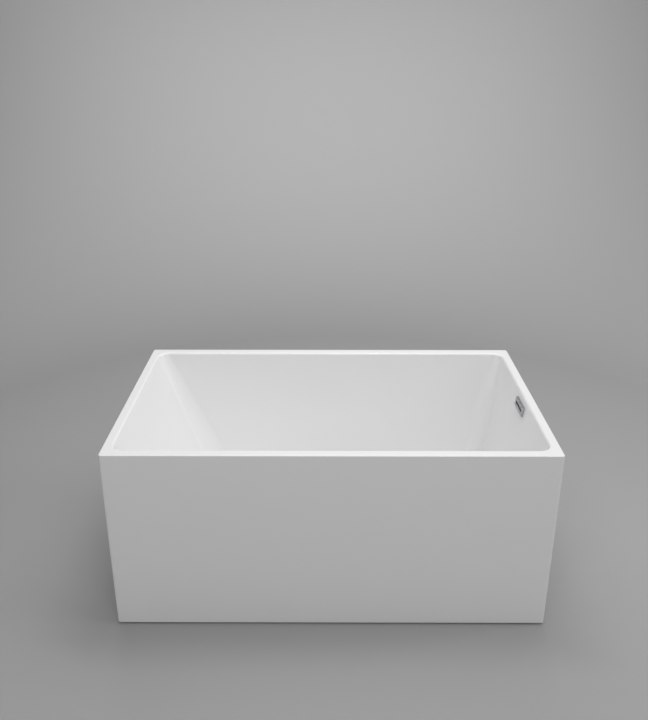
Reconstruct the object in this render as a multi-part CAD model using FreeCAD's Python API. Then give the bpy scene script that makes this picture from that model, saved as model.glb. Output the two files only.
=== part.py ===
"""Freestanding rectangular bathtub.

An acrylic basin in an outer skirt, on a steel frame with screw feet, with an overflow and a pop-up waste.
Millimetres. +Z is up, +X points to the end with the overflow and the waste, +Y to the back.
The origin is on the floor, under the middle of the tub.
"""

import FreeCAD
import Part

import math
import os

from FreeCAD import Rotation, Vector

# ---------------------------------------------------------------- driving dimensions
LENGTH = 1300.0
WIDTH = 795.0
RIM_Z = 585.0
EDGE_RADIUS = 8.0  # vertical outer corners
TOP_EDGE_ROUND = 2.0

RIM_END = 27.0  # flat rim width at the two ends
RIM_SIDE = 35.0  # flat rim width at front and back
RIM_INNER_ROUND = 8.0
BACKREST_ANGLE = 22.0  # left end wall, degrees from upright
WASTE_END_ANGLE = 9.5  # right end wall
SIDE_ANGLE = 5.0  # front and back walls
CORNER_AT_RIM = 38.0
CORNER_AT_FLOOR = 72.0
FLOOR_BLEND = 60.0
FLOOR_Z = 146.0  # bathing surface beside the waste
FLOOR_FALL_ANGLE = 0.3  # floor falls towards the waste end

ACRYLIC = 5.0
LAMINATE = 4.0
LAMINATE_TOP_Z = 566.0
DECK = 6.0  # thickness of the flat rim
SKIRT = 5.0
SKIRT_FOOT_Z = 6.0
BOND = 1.0  # adhesive layer between rim and skirt
TOP_FLANGE = 8.0
FOOT_FLANGE = 25.0

BOARD = 12.0
TUBE = 25.0
TUBE_WALL = 2.0
RAIL_Y = 210.0
RAIL_X = (-500.0, 540.0)
CROSSBAR_X = (-470.0, 20.0, 520.0)
CROSSBAR_HALF = 335.0

WASTE_X = 430.0
WASTE_SEAT_Z = FLOOR_Z - 4.0
THROAT = 20.0
STRAINER_TUBE = 23.0
OVERFLOW_Z = 546.0
HOSE_X = 628.0
HOSE_Z = 54.0
HOSE_OUTER = 13.5
HOSE_INNER = 11.1
HOSE_BEND = 60.0

STUD_RADIUS = 6.0
STUD_PITCH = 1.75
FEET = {
    "front_left": (CROSSBAR_X[0], -290.0),
    "back_left": (CROSSBAR_X[0], 290.0),
    "middle": (CROSSBAR_X[1], 0.0),
    "front_right": (CROSSBAR_X[2], -290.0),
    "back_right": (CROSSBAR_X[2], 290.0),
}

# ---------------------------------------------------------------- levels that follow
LAMINATE_FOOT_Z = WASTE_SEAT_Z - ACRYLIC - LAMINATE
BOARD_Z = LAMINATE_FOOT_Z - BOARD
RAIL_Z = BOARD_Z - TUBE
CROSSBAR_Z = RAIL_Z - TUBE
SKIRT_TOP_Z = RIM_Z - DECK - BOND
RUNNING = 0.1  # clearance of a stud in its nut


# ---------------------------------------------------------------- plain shapes
def box(x0, x1, y0, y1, z0, z1):
    """A box between two values on each axis."""
    return Part.makeBox(x1 - x0, y1 - y0, z1 - z0, Vector(x0, y0, z0))


def cylinder(radius, z0, z1, x=0.0, y=0.0):
    """An upright cylinder from z0 to z1."""
    return Part.makeCylinder(radius, z1 - z0, Vector(x, y, z0))


def ring(outer, inner, z0, z1, x=0.0, y=0.0):
    """An upright tube or washer."""
    return cylinder(outer, z0, z1, x, y).cut(cylinder(inner, z0 - 1, z1 + 1, x, y))


def hexagon(across_flats, z0, z1, x=0.0, y=0.0):
    """An upright hexagonal bar."""
    corner = across_flats / math.sqrt(3)
    turns = [math.radians(60 * i) for i in range(7)]
    points = [Vector(x + corner * math.cos(t), y + corner * math.sin(t), z0) for t in turns]
    return Part.Face(Part.makePolygon(points)).extrude(Vector(0, 0, z1 - z0))


def nut(across_flats, bore, z0, z1, x=0.0, y=0.0):
    """A hexagonal nut with its corners rounded off top and bottom."""
    corner = across_flats / math.sqrt(3)
    chamfer = 0.12 * across_flats / 2
    blank = hexagon(across_flats, z0, z1, x, y)
    barrel = cylinder(corner, z0, z1, x, y)
    barrel = barrel.makeChamfer(chamfer, [e for e in barrel.Edges if e.Closed])
    return blank.common(barrel).cut(cylinder(bore, z0 - 1, z1 + 1, x, y))


def rounded_wire(x0, x1, y0, y1, radius, z):
    """A rectangle with round corners, as a closed wire at height z."""
    centres = [(x1 - radius, y1 - radius), (x0 + radius, y1 - radius),
               (x0 + radius, y0 + radius), (x1 - radius, y0 + radius)]
    arcs = []
    for i, (cx, cy) in enumerate(centres):
        points = []
        for degrees in (90 * i, 90 * i + 45, 90 * i + 90):
            t = math.radians(degrees)
            points.append(Vector(cx + radius * math.cos(t), cy + radius * math.sin(t), z))
        arcs.append(Part.Arc(*points).toShape())
    edges = []
    for i, arc in enumerate(arcs):
        start = arcs[(i + 1) % 4].Vertexes[0].Point
        edges += [arc, Part.makeLine(arc.Vertexes[-1].Point, start)]
    return Part.Wire(edges)


def rounded_prism(x0, x1, y0, y1, radius, z0, z1):
    """A rectangle with round corners, extruded from z0 to z1."""
    return Part.Face(rounded_wire(x0, x1, y0, y1, radius, z0)).extrude(Vector(0, 0, z1 - z0))


def outline_prism(inset, radius, z0, z1):
    """The tub's outer outline moved inwards by inset, extruded from z0 to z1."""
    x, y = LENGTH / 2 - inset, WIDTH / 2 - inset
    return rounded_prism(-x, x, -y, y, radius, z0, z1)


# ---------------------------------------------------------------- the basin's form
def wall_positions(z, grow=0.0):
    """(left, right, front, back) of the basin walls at height z, moved outwards by grow."""
    drop = RIM_Z - z

    def inset(rim, angle):
        return rim + drop * math.tan(math.radians(angle)) - grow / math.cos(math.radians(angle))

    left = -LENGTH / 2 + inset(RIM_END, BACKREST_ANGLE)
    right = LENGTH / 2 - inset(RIM_END, WASTE_END_ANGLE)
    side = WIDTH / 2 - inset(RIM_SIDE, SIDE_ANGLE)
    return left, right, -side, side


def floor_cutter(height_at_waste, angle):
    """Everything below a floor that rises by angle from the waste end to the backrest."""
    block = box(-LENGTH, LENGTH, -WIDTH, WIDTH, -500.0, 0.0)
    block.rotate(Vector(0, 0, 0), Vector(0, 1, 0), angle)
    block.translate(Vector(WASTE_X, 0, height_at_waste))
    return block


def tapered_block(low, top):
    """The solid between two rounded rectangles: flat walls between ruled corners."""
    faces = [Part.Face(low), Part.Face(top)]
    for foot, head in zip(low.OrderedEdges, top.OrderedEdges):
        if isinstance(foot.Curve, Part.Circle):
            faces.append(Part.makeRuledSurface(foot, head))
            continue
        a, b = (v.Point for v in foot.Vertexes)
        c, d = sorted((v.Point for v in head.Vertexes), key=a.distanceToPoint, reverse=True)
        faces.append(Part.Face(Part.makePolygon([a, b, c, d, a])))
    shell = Part.makeShell(faces)
    shell.sewShape()
    return Part.makeSolid(shell)


def basin_form(grow, top_z, floor_z, floor_angle):
    """The solid block inside walls that stand grow outside the bathing surface."""
    low_z = FLOOR_Z - 60.0
    low = rounded_wire(*wall_positions(low_z, grow), CORNER_AT_FLOOR + grow, low_z)
    top = rounded_wire(*wall_positions(top_z, grow), CORNER_AT_RIM + grow, top_z)
    block = tapered_block(low, top).cut(floor_cutter(floor_z, floor_angle))
    lowest = min(block.Faces, key=lambda f: f.CenterOfMass.z)
    return block.makeFillet(FLOOR_BLEND + grow, lowest.Edges)


def bathing_space(top_z):
    """What the basin is hollow around."""
    return basin_form(0.0, top_z, FLOOR_Z, FLOOR_FALL_ANGLE)


def waste_recess():
    """The shallow seat in the floor that the strainer's flange drops into, with its hole."""
    seat = Part.makeCone(37.0, 43.0, 5.0, Vector(WASTE_X, 0, WASTE_SEAT_Z))
    return seat.fuse(cylinder(STRAINER_TUBE + 0.5, LAMINATE_FOOT_Z - 5, WASTE_SEAT_Z + 1, WASTE_X))


def in_overflow_frame(shape):
    """Moves a shape from the overflow's own frame to the end wall.

    There +X leaves the tub through the wall, +Z goes up the wall, and the origin is on the bathing surface.
    """
    shape.rotate(Vector(0, 0, 0), Vector(0, 1, 0), WASTE_END_ANGLE)
    shape.translate(Vector(wall_positions(OVERFLOW_Z)[1], 0, OVERFLOW_Z))
    return shape


def overflow_block(x0, x1, half_y, half_z, radius):
    """A plate with round corners in the overflow's own frame."""
    plate = rounded_prism(-half_z, half_z, -half_y, half_y, radius, 0.0, x1 - x0)
    plate.rotate(Vector(0, 0, 0), Vector(0, 1, 0), 90)
    plate.translate(Vector(x0, 0, 0))
    return plate


OVERFLOW_MOUTH = (37.5, 7.5, 4.0)  # half length, half height and corner radius of the wall's slot
OVERFLOW_SCREW_Y = 43.0


def overflow_wall_holes():
    """The slot and the two screw holes through the end wall, as a list."""
    holes = [overflow_block(-3, 14, *OVERFLOW_MOUTH)]
    for side in (-1, 1):
        start = Vector(-3, side * OVERFLOW_SCREW_Y, 0)
        holes.append(Part.makeCylinder(2.3, 17, start, Vector(1, 0, 0)))
    return [in_overflow_frame(hole) for hole in holes]


def with_wall_holes(shape):
    """Cuts the waste's seat and the overflow's holes, one after another."""
    for hole in [waste_recess()] + overflow_wall_holes():
        shape = shape.cut(hole)
    return shape


def make_basin():
    """The moulded acrylic shell with its flat rim."""
    shell = basin_form(ACRYLIC, RIM_Z, FLOOR_Z - ACRYLIC, FLOOR_FALL_ANGLE)
    boss = cylinder(52.0, WASTE_SEAT_Z - ACRYLIC, FLOOR_Z - 2, WASTE_X)
    deck = outline_prism(0.0, EDGE_RADIUS, RIM_Z - DECK, RIM_Z)
    top_edges = [e for e in deck.Edges if e.BoundBox.ZMin > RIM_Z - 0.01]
    deck = deck.makeFillet(TOP_EDGE_ROUND, top_edges)
    shell = shell.fuse([boss, deck]).cut(bathing_space(RIM_Z + 5))
    shell = shell.removeSplitter()
    inner_x, inner_y = LENGTH / 2 - RIM_END + 1, WIDTH / 2 - RIM_SIDE + 1
    mouth = [e for e in shell.Edges if e.BoundBox.ZMin > RIM_Z - 0.01
             and e.BoundBox.XMax < inner_x and e.BoundBox.XMin > -inner_x
             and e.BoundBox.YMax < inner_y and e.BoundBox.YMin > -inner_y]
    return with_wall_holes(shell.makeFillet(RIM_INNER_ROUND, mouth))


def make_laminate():
    """The glass-fibre layer that stiffens the back of the acrylic, level underneath."""
    outer = basin_form(ACRYLIC + LAMINATE, LAMINATE_TOP_Z, LAMINATE_FOOT_Z, 0.0)
    inner = basin_form(ACRYLIC, LAMINATE_TOP_Z + 1, FLOOR_Z - ACRYLIC, FLOOR_FALL_ANGLE)
    boss = cylinder(52.0, WASTE_SEAT_Z - ACRYLIC, FLOOR_Z, WASTE_X)
    return with_wall_holes(outer.cut(inner.fuse(boss)))


# ---------------------------------------------------------------- skirt, board and frame
SKIRT_SCREW_Y = WIDTH / 2 - SKIRT - 15.0
BRACKET = 3.0
BRACKET_WIDTH = 30.0
END_PLATE = 3.0
BOARD_SCREW_X = (-350.0, -130.0, 150.0, 370.0)


def make_skirt():
    """The one-piece outer shell, with a narrow flange under the rim and a wide one at its foot."""
    skirt = outline_prism(0.0, EDGE_RADIUS, SKIRT_FOOT_Z, SKIRT_TOP_Z)
    inside = outline_prism(SKIRT, EDGE_RADIUS - SKIRT, SKIRT_FOOT_Z + SKIRT, SKIRT_TOP_Z - SKIRT)
    skirt = skirt.cut(inside)
    skirt = skirt.cut(outline_prism(SKIRT + TOP_FLANGE, 30.0, SKIRT_TOP_Z - SKIRT - 1, SKIRT_TOP_Z + 1))
    skirt = skirt.cut(outline_prism(SKIRT + FOOT_FLANGE, 20.0, 0.0, SKIRT_FOOT_Z + SKIRT + 1))
    for x, side in bracket_places():
        y = side * SKIRT_SCREW_Y
        sink = Part.makeCone(5.3, 2.8, 2.5, Vector(x, y, SKIRT_FOOT_Z))
        skirt = skirt.cut(cylinder(2.8, 0.0, SKIRT_FOOT_Z + SKIRT + 1, x, y)).cut(sink)
    return skirt


def make_bond():
    """The bead of adhesive that joins rim and skirt, sanded flush with the outer face."""
    bead = outline_prism(0.0, EDGE_RADIUS, SKIRT_TOP_Z, SKIRT_TOP_Z + BOND)
    return bead.cut(outline_prism(SKIRT + TOP_FLANGE, 30.0, SKIRT_TOP_Z - 1, RIM_Z))


def make_board():
    """The plywood board glued under the floor, with a hole around the waste."""
    board = rounded_prism(-400.0, 495.0, -240.0, 240.0, 25.0, BOARD_Z, LAMINATE_FOOT_Z)
    board = board.cut(cylinder(46.0, BOARD_Z - 1, LAMINATE_FOOT_Z + 1, WASTE_X))
    for x in BOARD_SCREW_X:
        for side in (-1, 1):
            board = board.cut(cylinder(2.45, BOARD_Z - 1, BOARD_Z + BOARD - 2, x, side * RAIL_Y))
    return board


def square_tube(x0, x1, y0, y1, z0, along_x):
    """A square steel tube between two ends."""
    tube = box(x0, x1, y0, y1, z0, z0 + TUBE)
    w = TUBE_WALL
    if along_x:
        return tube.cut(box(x0 - 1, x1 + 1, y0 + w, y1 - w, z0 + w, z0 + TUBE - w))
    return tube.cut(box(x0 + w, x1 - w, y0 - 1, y1 + 1, z0 + w, z0 + TUBE - w))


def make_rail(side):
    """A lengthwise tube that carries the board."""
    y = side * RAIL_Y
    rail = square_tube(*RAIL_X, y - TUBE / 2, y + TUBE / 2, RAIL_Z, True)
    for x in BOARD_SCREW_X:
        rail = rail.cut(cylinder(2.6, RAIL_Z - 1, RAIL_Z + TUBE + 1, x, y))
    return rail


def make_crossbar(x):
    """A tube from front to back, welded under the rails, with clearance holes for its feet."""
    bar = square_tube(x - TUBE / 2, x + TUBE / 2, -CROSSBAR_HALF, CROSSBAR_HALF, CROSSBAR_Z, False)
    for foot_x, foot_y in FEET.values():
        if foot_x == x:
            bar = bar.cut(cylinder(7.0, CROSSBAR_Z - 1, CROSSBAR_Z + TUBE_WALL + 1, x, foot_y))
    return bar


def make_rail_caps():
    """Plastic plugs in the four ends of the rails."""
    caps = []
    for side in (-1, 1):
        for x, way in ((RAIL_X[0], -1), (RAIL_X[1], 1)):
            y, half = side * RAIL_Y, TUBE / 2
            inner = half - TUBE_WALL - 0.1
            z = RAIL_Z + half
            head = box(*sorted((x, x + 3 * way)), y - half, y + half, z - half, z + half)
            plug = box(*sorted((x - 12 * way, x)), y - inner, y + inner, z - inner, z + inner)
            caps.append(head.fuse(plug).removeSplitter())
    return Part.makeCompound(caps)


def bracket_places():
    """(x, side) of the six brackets that tie the skirt's foot to the frame."""
    return [(x, side) for x in CROSSBAR_X for side in (-1, 1)]


def facing(shape, side):
    """A shape modelled at the back, turned to the front for side -1."""
    return shape if side > 0 else shape.mirror(Vector(0, 0, 0), Vector(0, 1, 0))


def make_end_plates():
    """Threaded plates welded into the ends of the crossbars."""
    plates = []
    for x, side in bracket_places():
        y, half = CROSSBAR_HALF, TUBE / 2
        plate = box(x - half, x + half, y, y + END_PLATE, CROSSBAR_Z, CROSSBAR_Z + TUBE)
        hole = Part.makeCylinder(3.1, 20, Vector(x, y - 5, CROSSBAR_Z + half), Vector(0, 1, 0))
        plates.append(facing(plate.cut(hole), side))
    return Part.makeCompound(plates)


def make_bracket(x, side):
    """A bent strip from a crossbar's end down to the flange at the skirt's foot."""
    y, z = CROSSBAR_HALF + END_PLATE, SKIRT_FOOT_Z + SKIRT
    half = BRACKET_WIDTH / 2
    upright = box(x - half, x + half, y, y + BRACKET, z, CROSSBAR_Z + TUBE)
    toe = box(x - half, x + half, y, SKIRT_SCREW_Y + 9, z, z + BRACKET)
    corner = Vector(x - BRACKET / 2, y + BRACKET, z + BRACKET)
    triangle = Part.makePolygon([corner, corner + Vector(0, 22, 0), corner + Vector(0, 0, 34), corner])
    web = Part.Face(triangle).extrude(Vector(BRACKET, 0, 0))
    bracket = upright.fuse([toe, web]).removeSplitter()
    bolt_hole = Part.makeCylinder(3.3, 20, Vector(x, y - 5, CROSSBAR_Z + TUBE / 2), Vector(0, 1, 0))
    bracket = bracket.cut(bolt_hole).cut(cylinder(2.8, z - 1, z + BRACKET + 1, x, SKIRT_SCREW_Y))
    return facing(bracket, side)


def make_bracket_bolts():
    """M6 bolts that fix the brackets to the crossbars."""
    bolts = []
    for x, side in bracket_places():
        y = CROSSBAR_HALF + END_PLATE + BRACKET
        bolt = hexagon(10.0, 0.0, 4.0).fuse(cylinder(3.0, -14.0, 0.0)).removeSplitter()
        bolt.rotate(Vector(0, 0, 0), Vector(1, 0, 0), -90)
        bolt.translate(Vector(x, y, CROSSBAR_Z + TUBE / 2))
        bolts.append(facing(bolt, side))
    return Part.makeCompound(bolts)


def make_skirt_screws():
    """M5 countersunk screws up through the skirt's foot flange and the brackets."""
    top = SKIRT_FOOT_Z + SKIRT + BRACKET + 6
    screws = []
    for x, side in bracket_places():
        y = side * SKIRT_SCREW_Y
        head = Part.makeCone(5.0, 2.5, 2.5, Vector(x, y, SKIRT_FOOT_Z))
        screws.append(head.fuse(cylinder(2.5, SKIRT_FOOT_Z, top, x, y)).removeSplitter())
    return Part.makeCompound(screws)


def make_skirt_nuts():
    """Nuts on the skirt screws, above the brackets."""
    z = SKIRT_FOOT_Z + SKIRT + BRACKET
    places = [(x, side * SKIRT_SCREW_Y) for x, side in bracket_places()]
    return Part.makeCompound([nut(8.0, 2.55, z, z + 4, x, y) for x, y in places])


def make_board_screws():
    """Pan-head screws up through the rails into the board."""
    screws = []
    for x in BOARD_SCREW_X:
        for side in (-1, 1):
            head = cylinder(5.5, RAIL_Z - 3, RAIL_Z, x, side * RAIL_Y)
            rim = [e for e in head.Edges if e.Closed and e.BoundBox.ZMax < RAIL_Z - 2]
            head = head.makeFillet(1.8, rim)
            shank = cylinder(2.4, RAIL_Z, BOARD_Z + BOARD - 3, x, side * RAIL_Y)
            screws.append(head.fuse(shank).removeSplitter())
    return Part.makeCompound(screws)


# ---------------------------------------------------------------- levelling feet
SOLE = 3.0
PAD_TOP_Z = 17.0
BALL_Z = 12.0
BALL = 7.0
WELD_NUT = 10.0
LOCK_NUT = 6.0
HEX_Z = 20.0
HEX = 8.0
STUD_TOP_Z = CROSSBAR_Z + 10.0
THREAD_DEPTH = 1.07


def make_sole(x, y):
    """The rubber disc under a foot."""
    return cylinder(23.0, 0.0, SOLE, x, y)


def make_pad(x, y):
    """The plastic foot, with a socket for the stud's ball."""
    profile = Part.Wire(Part.makePolygon([
        Vector(0, 0, SOLE), Vector(25, 0, SOLE), Vector(25, 0, SOLE + 4), Vector(13, 0, PAD_TOP_Z - 2),
        Vector(11, 0, PAD_TOP_Z), Vector(0, 0, PAD_TOP_Z), Vector(0, 0, SOLE)]))
    pad = Part.Face(profile).revolve(Vector(0, 0, 0), Vector(0, 0, 1), 360)
    pad = pad.cut(Part.makeSphere(BALL + 0.3, Vector(0, 0, BALL_Z)))
    pad.translate(Vector(x, y, 0))
    return pad


def make_stud(x, y):
    """An M12 stud with a ball end and a hexagon to turn it by. Rings stand in for its thread."""
    points = [Vector(0, 0, HEX_Z + HEX), Vector(STUD_RADIUS, 0, HEX_Z + HEX)]
    root = STUD_RADIUS - THREAD_DEPTH
    turns = int((STUD_TOP_Z - 2 - (HEX_Z + HEX + 3)) / STUD_PITCH)
    for i in range(turns):
        z = HEX_Z + HEX + 3 + i * STUD_PITCH
        points += [Vector(STUD_RADIUS, 0, z), Vector(root, 0, z + 0.4 * STUD_PITCH),
                   Vector(root, 0, z + 0.6 * STUD_PITCH)]
    points += [Vector(STUD_RADIUS, 0, z + STUD_PITCH), Vector(root, 0, STUD_TOP_Z),
               Vector(0, 0, STUD_TOP_Z)]
    section = Part.Face(Part.makePolygon(points + points[:1]))
    thread = section.revolve(Vector(0, 0, 0), Vector(0, 0, 1), 360)
    neck = cylinder(4.5, BALL_Z, HEX_Z)
    ball = Part.makeSphere(BALL, Vector(0, 0, BALL_Z))
    stud = thread.fuse([hexagon(17.0, HEX_Z, HEX_Z + HEX), neck, ball])
    stud.translate(Vector(x, y, 0))
    return stud


def nuts_on_studs(height, top):
    """M12 nuts round all the studs, as one compound."""
    bore = STUD_RADIUS + RUNNING
    return Part.makeCompound([nut(19.0, bore, top - height, top, x, y) for x, y in FEET.values()])


def make_weld_nuts():
    """The nuts welded under the crossbars that the studs screw into."""
    return nuts_on_studs(WELD_NUT, CROSSBAR_Z)


def make_lock_nuts():
    """The thin nuts that lock the studs, tight against the weld nuts."""
    return nuts_on_studs(LOCK_NUT, CROSSBAR_Z - WELD_NUT)


# ---------------------------------------------------------------- overflow
COVER = (49.0, 15.0)  # half length and half height of the face plate
COVER_DEPTH = 6.0
COVER_WALL = 2.0
COVER_SLOT = (37.0, 4.0)
GASKET = 2.0
BACK_OF_WALL = ACRYLIC + LAMINATE
HOUSING_BACK_X = 643.0
SPIGOT_TOP_Z = 455.0
SPIGOT_FOOT_Z = 425.0
HOUSING_WALL = 2.0


def make_overflow_cover():
    """The slotted face plate, a shallow tray that clips over its frame."""
    cover = overflow_block(-COVER_DEPTH, -0.3, *COVER, 2.0)
    front = [e for e in cover.Edges if e.BoundBox.XMax < -COVER_DEPTH + 0.01]
    cover = cover.makeFillet(1.0, front)
    inner = [half - COVER_WALL for half in COVER]
    cover = cover.cut(overflow_block(-COVER_DEPTH + COVER_WALL, 1, *inner, 1.0))
    return in_overflow_frame(cover.cut(overflow_block(-COVER_DEPTH - 1, 1, *COVER_SLOT, 1.5)))


def overflow_frame_plate(x0, x1, half_y, half_z, hole):
    """A flat frame around the mouth, with its two screw holes."""
    plate = overflow_block(x0, x1, half_y, half_z, 2.0)
    plate = plate.cut(overflow_block(x0 - 1, x1 + 1, *hole, 3.0))
    for side in (-1, 1):
        start = Vector(x0 - 1, side * OVERFLOW_SCREW_Y, 0)
        plate = plate.cut(Part.makeCylinder(2.3, x1 - x0 + 2, start, Vector(1, 0, 0)))
    return plate


def make_overflow_clip_frame():
    """The plastic frame that the screws hold to the wall and the cover clips onto."""
    plate = overflow_frame_plate(-3.4, -1.0, 46.8, 12.8, (38.0, 7.0))
    for side in (-1, 1):
        start = Vector(-3.4, side * OVERFLOW_SCREW_Y, 0)
        plate = plate.cut(Part.makeCone(3.4, 2.0, 1.2, start, Vector(1, 0, 0)))
    return in_overflow_frame(plate)


def make_overflow_front_gasket():
    """The foam gasket between the clip frame and the bathing surface."""
    return in_overflow_frame(overflow_frame_plate(-1.0, 0.0, 46.8, 12.8, (38.0, 7.0)))


def make_overflow_back_gasket():
    """The rubber gasket between the housing and the back of the wall."""
    start = BACK_OF_WALL
    return in_overflow_frame(overflow_frame_plate(start, start + GASKET, 48.0, 13.0, (38.0, 8.0)))


def housing_section(z, half_y, front, back, radius):
    """One level of the housing's outline."""
    return rounded_wire(front, back, -half_y, half_y, radius, z)


def housing_body(wall):
    """The flat funnel behind the wall, moved inwards by wall."""
    def front(z):
        return wall_positions(z, BACK_OF_WALL + GASKET)[1] + wall

    back, r = HOUSING_BACK_X - wall, 3.5 - 0.8 * wall
    high, middle = OVERFLOW_Z + 17.0 - wall, OVERFLOW_Z - 24.0
    low = SPIGOT_TOP_Z + wall
    wide, narrow = 50.0 - wall, 15.0 - wall
    sections = [housing_section(high, wide, front(high), back, r),
                housing_section(middle, wide, front(middle), back, r),
                housing_section(low, narrow, HOSE_X - narrow, back, r)]
    upper = Part.makeLoft(sections[:2], True, True)
    lower = Part.makeLoft(sections[1:], True, True)
    return upper.fuse(lower)


def make_overflow_housing():
    """The plastic housing that catches the overflow and leads it down to the hose."""
    spigot = cylinder(HOSE_INNER - 0.1, SPIGOT_FOOT_Z, SPIGOT_TOP_Z + 1, HOSE_X)
    housing = housing_body(0.0).fuse(spigot)
    housing = housing.cut(housing_body(HOUSING_WALL))
    housing = housing.cut(cylinder(8.5, SPIGOT_FOOT_Z - 1, SPIGOT_TOP_Z + 5, HOSE_X))
    start = BACK_OF_WALL + GASKET
    cutters = overflow_block(start - 1, start + 3.5, *OVERFLOW_MOUTH)
    for side in (-1, 1):
        bore_start = Vector(start - 1, side * OVERFLOW_SCREW_Y, 0)
        cutters = cutters.fuse(Part.makeCylinder(1.9, 5, bore_start, Vector(1, 0, 0)))
    return housing.cut(in_overflow_frame(cutters))


def make_overflow_screws():
    """The two screws from the clip frame through the wall into the housing."""
    screws = []
    for side in (-1, 1):
        y = side * OVERFLOW_SCREW_Y
        head = Part.makeCone(3.2, 1.8, 1.2, Vector(-3.4, y, 0), Vector(1, 0, 0))
        shank = Part.makeCylinder(1.8, 16.0, Vector(-2.2, y, 0), Vector(1, 0, 0))
        screws.append(in_overflow_frame(head.fuse(shank).removeSplitter()))
    return Part.makeCompound(screws)


# ---------------------------------------------------------------- hose and waste
TEE_TOP_Z = 112.0
TEE_FOOT_Z = 34.0
TEE_SPIGOT_END_X = WASTE_X + 60.0
HOSE_END_X = WASTE_X + 34.0
CLAMP_WIDTH = 10.0
CARTRIDGE_Z = 118.0
CARTRIDGE_TOP_Z = 140.0
CAP_Z = FLOOR_Z + 1.2
PIPE_RADIUS = 19.05


def make_hose():
    """The overflow hose: straight down inside the end, round one bend and along to the tee."""
    top = Vector(HOSE_X, 0, SPIGOT_TOP_Z - 8)
    bend_top = Vector(HOSE_X, 0, HOSE_Z + HOSE_BEND)
    cut_in = HOSE_BEND * (1 - math.sqrt(0.5))
    bend_mid = Vector(HOSE_X - cut_in, 0, HOSE_Z + cut_in)
    bend_end = Vector(HOSE_X - HOSE_BEND, 0, HOSE_Z)
    end = Vector(HOSE_END_X, 0, HOSE_Z)
    path = Part.Wire([Part.makeLine(top, bend_top), Part.Arc(bend_top, bend_mid, bend_end).toShape(),
                      Part.makeLine(bend_end, end)])
    tubes = []
    for radius in (HOSE_OUTER, HOSE_INNER):
        circle = Part.Wire(Part.makeCircle(radius, top, Vector(0, 0, 1)))
        tubes.append(path.makePipeShell([circle], True, True))
    return tubes[0].cut(tubes[1])


def make_hose_clamps():
    """Worm-drive clamps at the two ends of the hose."""
    inner, outer = HOSE_OUTER + 0.05, HOSE_OUTER + 0.95
    band = ring(outer, inner, 0.0, CLAMP_WIDTH)
    worm_start = Vector(-7, inner + 3.9, CLAMP_WIDTH / 2)
    worm = Part.makeCylinder(3.4, 14.0, worm_start, Vector(1, 0, 0))
    saddle = box(-5, 5, inner + 0.3, inner + 3.2, 1.5, CLAMP_WIDTH - 1.5)
    clamp = band.fuse([worm, saddle])
    upper = clamp.copy()
    upper.translate(Vector(HOSE_X, 0, SPIGOT_FOOT_Z + 6))
    lower = clamp.copy()
    lower.rotate(Vector(0, 0, 0), Vector(0, 1, 0), 90)
    lower.translate(Vector(HOSE_END_X + 6, 0, HOSE_Z))
    return Part.makeCompound([upper, lower])


def make_strainer():
    """The chromed waste fitting: flange, threaded tube and a cross that holds the pop-up cartridge."""
    flange_z = WASTE_SEAT_Z + 1.5
    flange = cylinder(35.0, flange_z, FLOOR_Z, WASTE_X)
    rim = [e for e in flange.Edges if e.Closed and e.BoundBox.ZMin > FLOOR_Z - 0.1]
    flange = flange.makeFillet(1.2, rim)
    body = flange.fuse(cylinder(STRAINER_TUBE, 88.0, flange_z + 1, WASTE_X))
    body = body.cut(cylinder(THROAT, 80.0, FLOOR_Z + 1, WASTE_X))
    body = body.cut(Part.makeCone(THROAT, THROAT + 4, 4.0, Vector(WASTE_X, 0, FLOOR_Z - 4)))
    spokes = [box(WASTE_X - 21, WASTE_X + 21, -2, 2, CARTRIDGE_Z - 6, CARTRIDGE_Z),
              box(WASTE_X - 2, WASTE_X + 2, -21, 21, CARTRIDGE_Z - 6, CARTRIDGE_Z),
              cylinder(8.0, CARTRIDGE_Z - 6, CARTRIDGE_Z, WASTE_X)]
    socket = cylinder(4.0, CARTRIDGE_Z - 7, CARTRIDGE_Z + 1, WASTE_X)
    return body.fuse(spokes).cut(socket).removeSplitter()


def make_strainer_gasket():
    """The thin seal under the strainer's flange."""
    return ring(34.0, STRAINER_TUBE + 0.1, WASTE_SEAT_Z, WASTE_SEAT_Z + 1.5, WASTE_X)


def make_waste_washer():
    """The thick rubber washer under the basin."""
    return ring(37.0, STRAINER_TUBE + 0.1, LAMINATE_FOOT_Z - 4, LAMINATE_FOOT_Z, WASTE_X)


def make_slip_washer():
    """The plastic washer that lets the back nut turn without dragging the rubber."""
    return ring(36.0, STRAINER_TUBE + 0.1, LAMINATE_FOOT_Z - 5.2, LAMINATE_FOOT_Z - 4, WASTE_X)


def make_back_nut():
    """The large nut that pulls the strainer down."""
    return nut(66.0, STRAINER_TUBE + 0.1, LAMINATE_FOOT_Z - 17.2, LAMINATE_FOOT_Z - 5.2, WASTE_X)


def make_tee():
    """The waste body: socket for the strainer, side spigot for the hose and a threaded outlet below."""
    body = cylinder(28.0, 84.0, TEE_TOP_Z, WASTE_X).fuse([
        Part.makeCone(24.0, 28.0, 6.0, Vector(WASTE_X, 0, 78.0)),
        cylinder(24.0, TEE_FOOT_Z, 78.0, WASTE_X),
        Part.makeCylinder(HOSE_INNER - 0.1, 60.0, Vector(WASTE_X, 0, HOSE_Z), Vector(1, 0, 0)),
        Part.makeCylinder(15.5, 27.0, Vector(WASTE_X, 0, HOSE_Z), Vector(1, 0, 0))])
    body = body.cut(cylinder(STRAINER_TUBE + 0.1, 86.0, TEE_TOP_Z + 1, WASTE_X))
    body = body.cut(cylinder(THROAT, TEE_FOOT_Z - 1, 90.0, WASTE_X))
    return body.cut(Part.makeCylinder(8.5, 80.0, Vector(WASTE_X, 0, HOSE_Z), Vector(1, 0, 0)))


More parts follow.
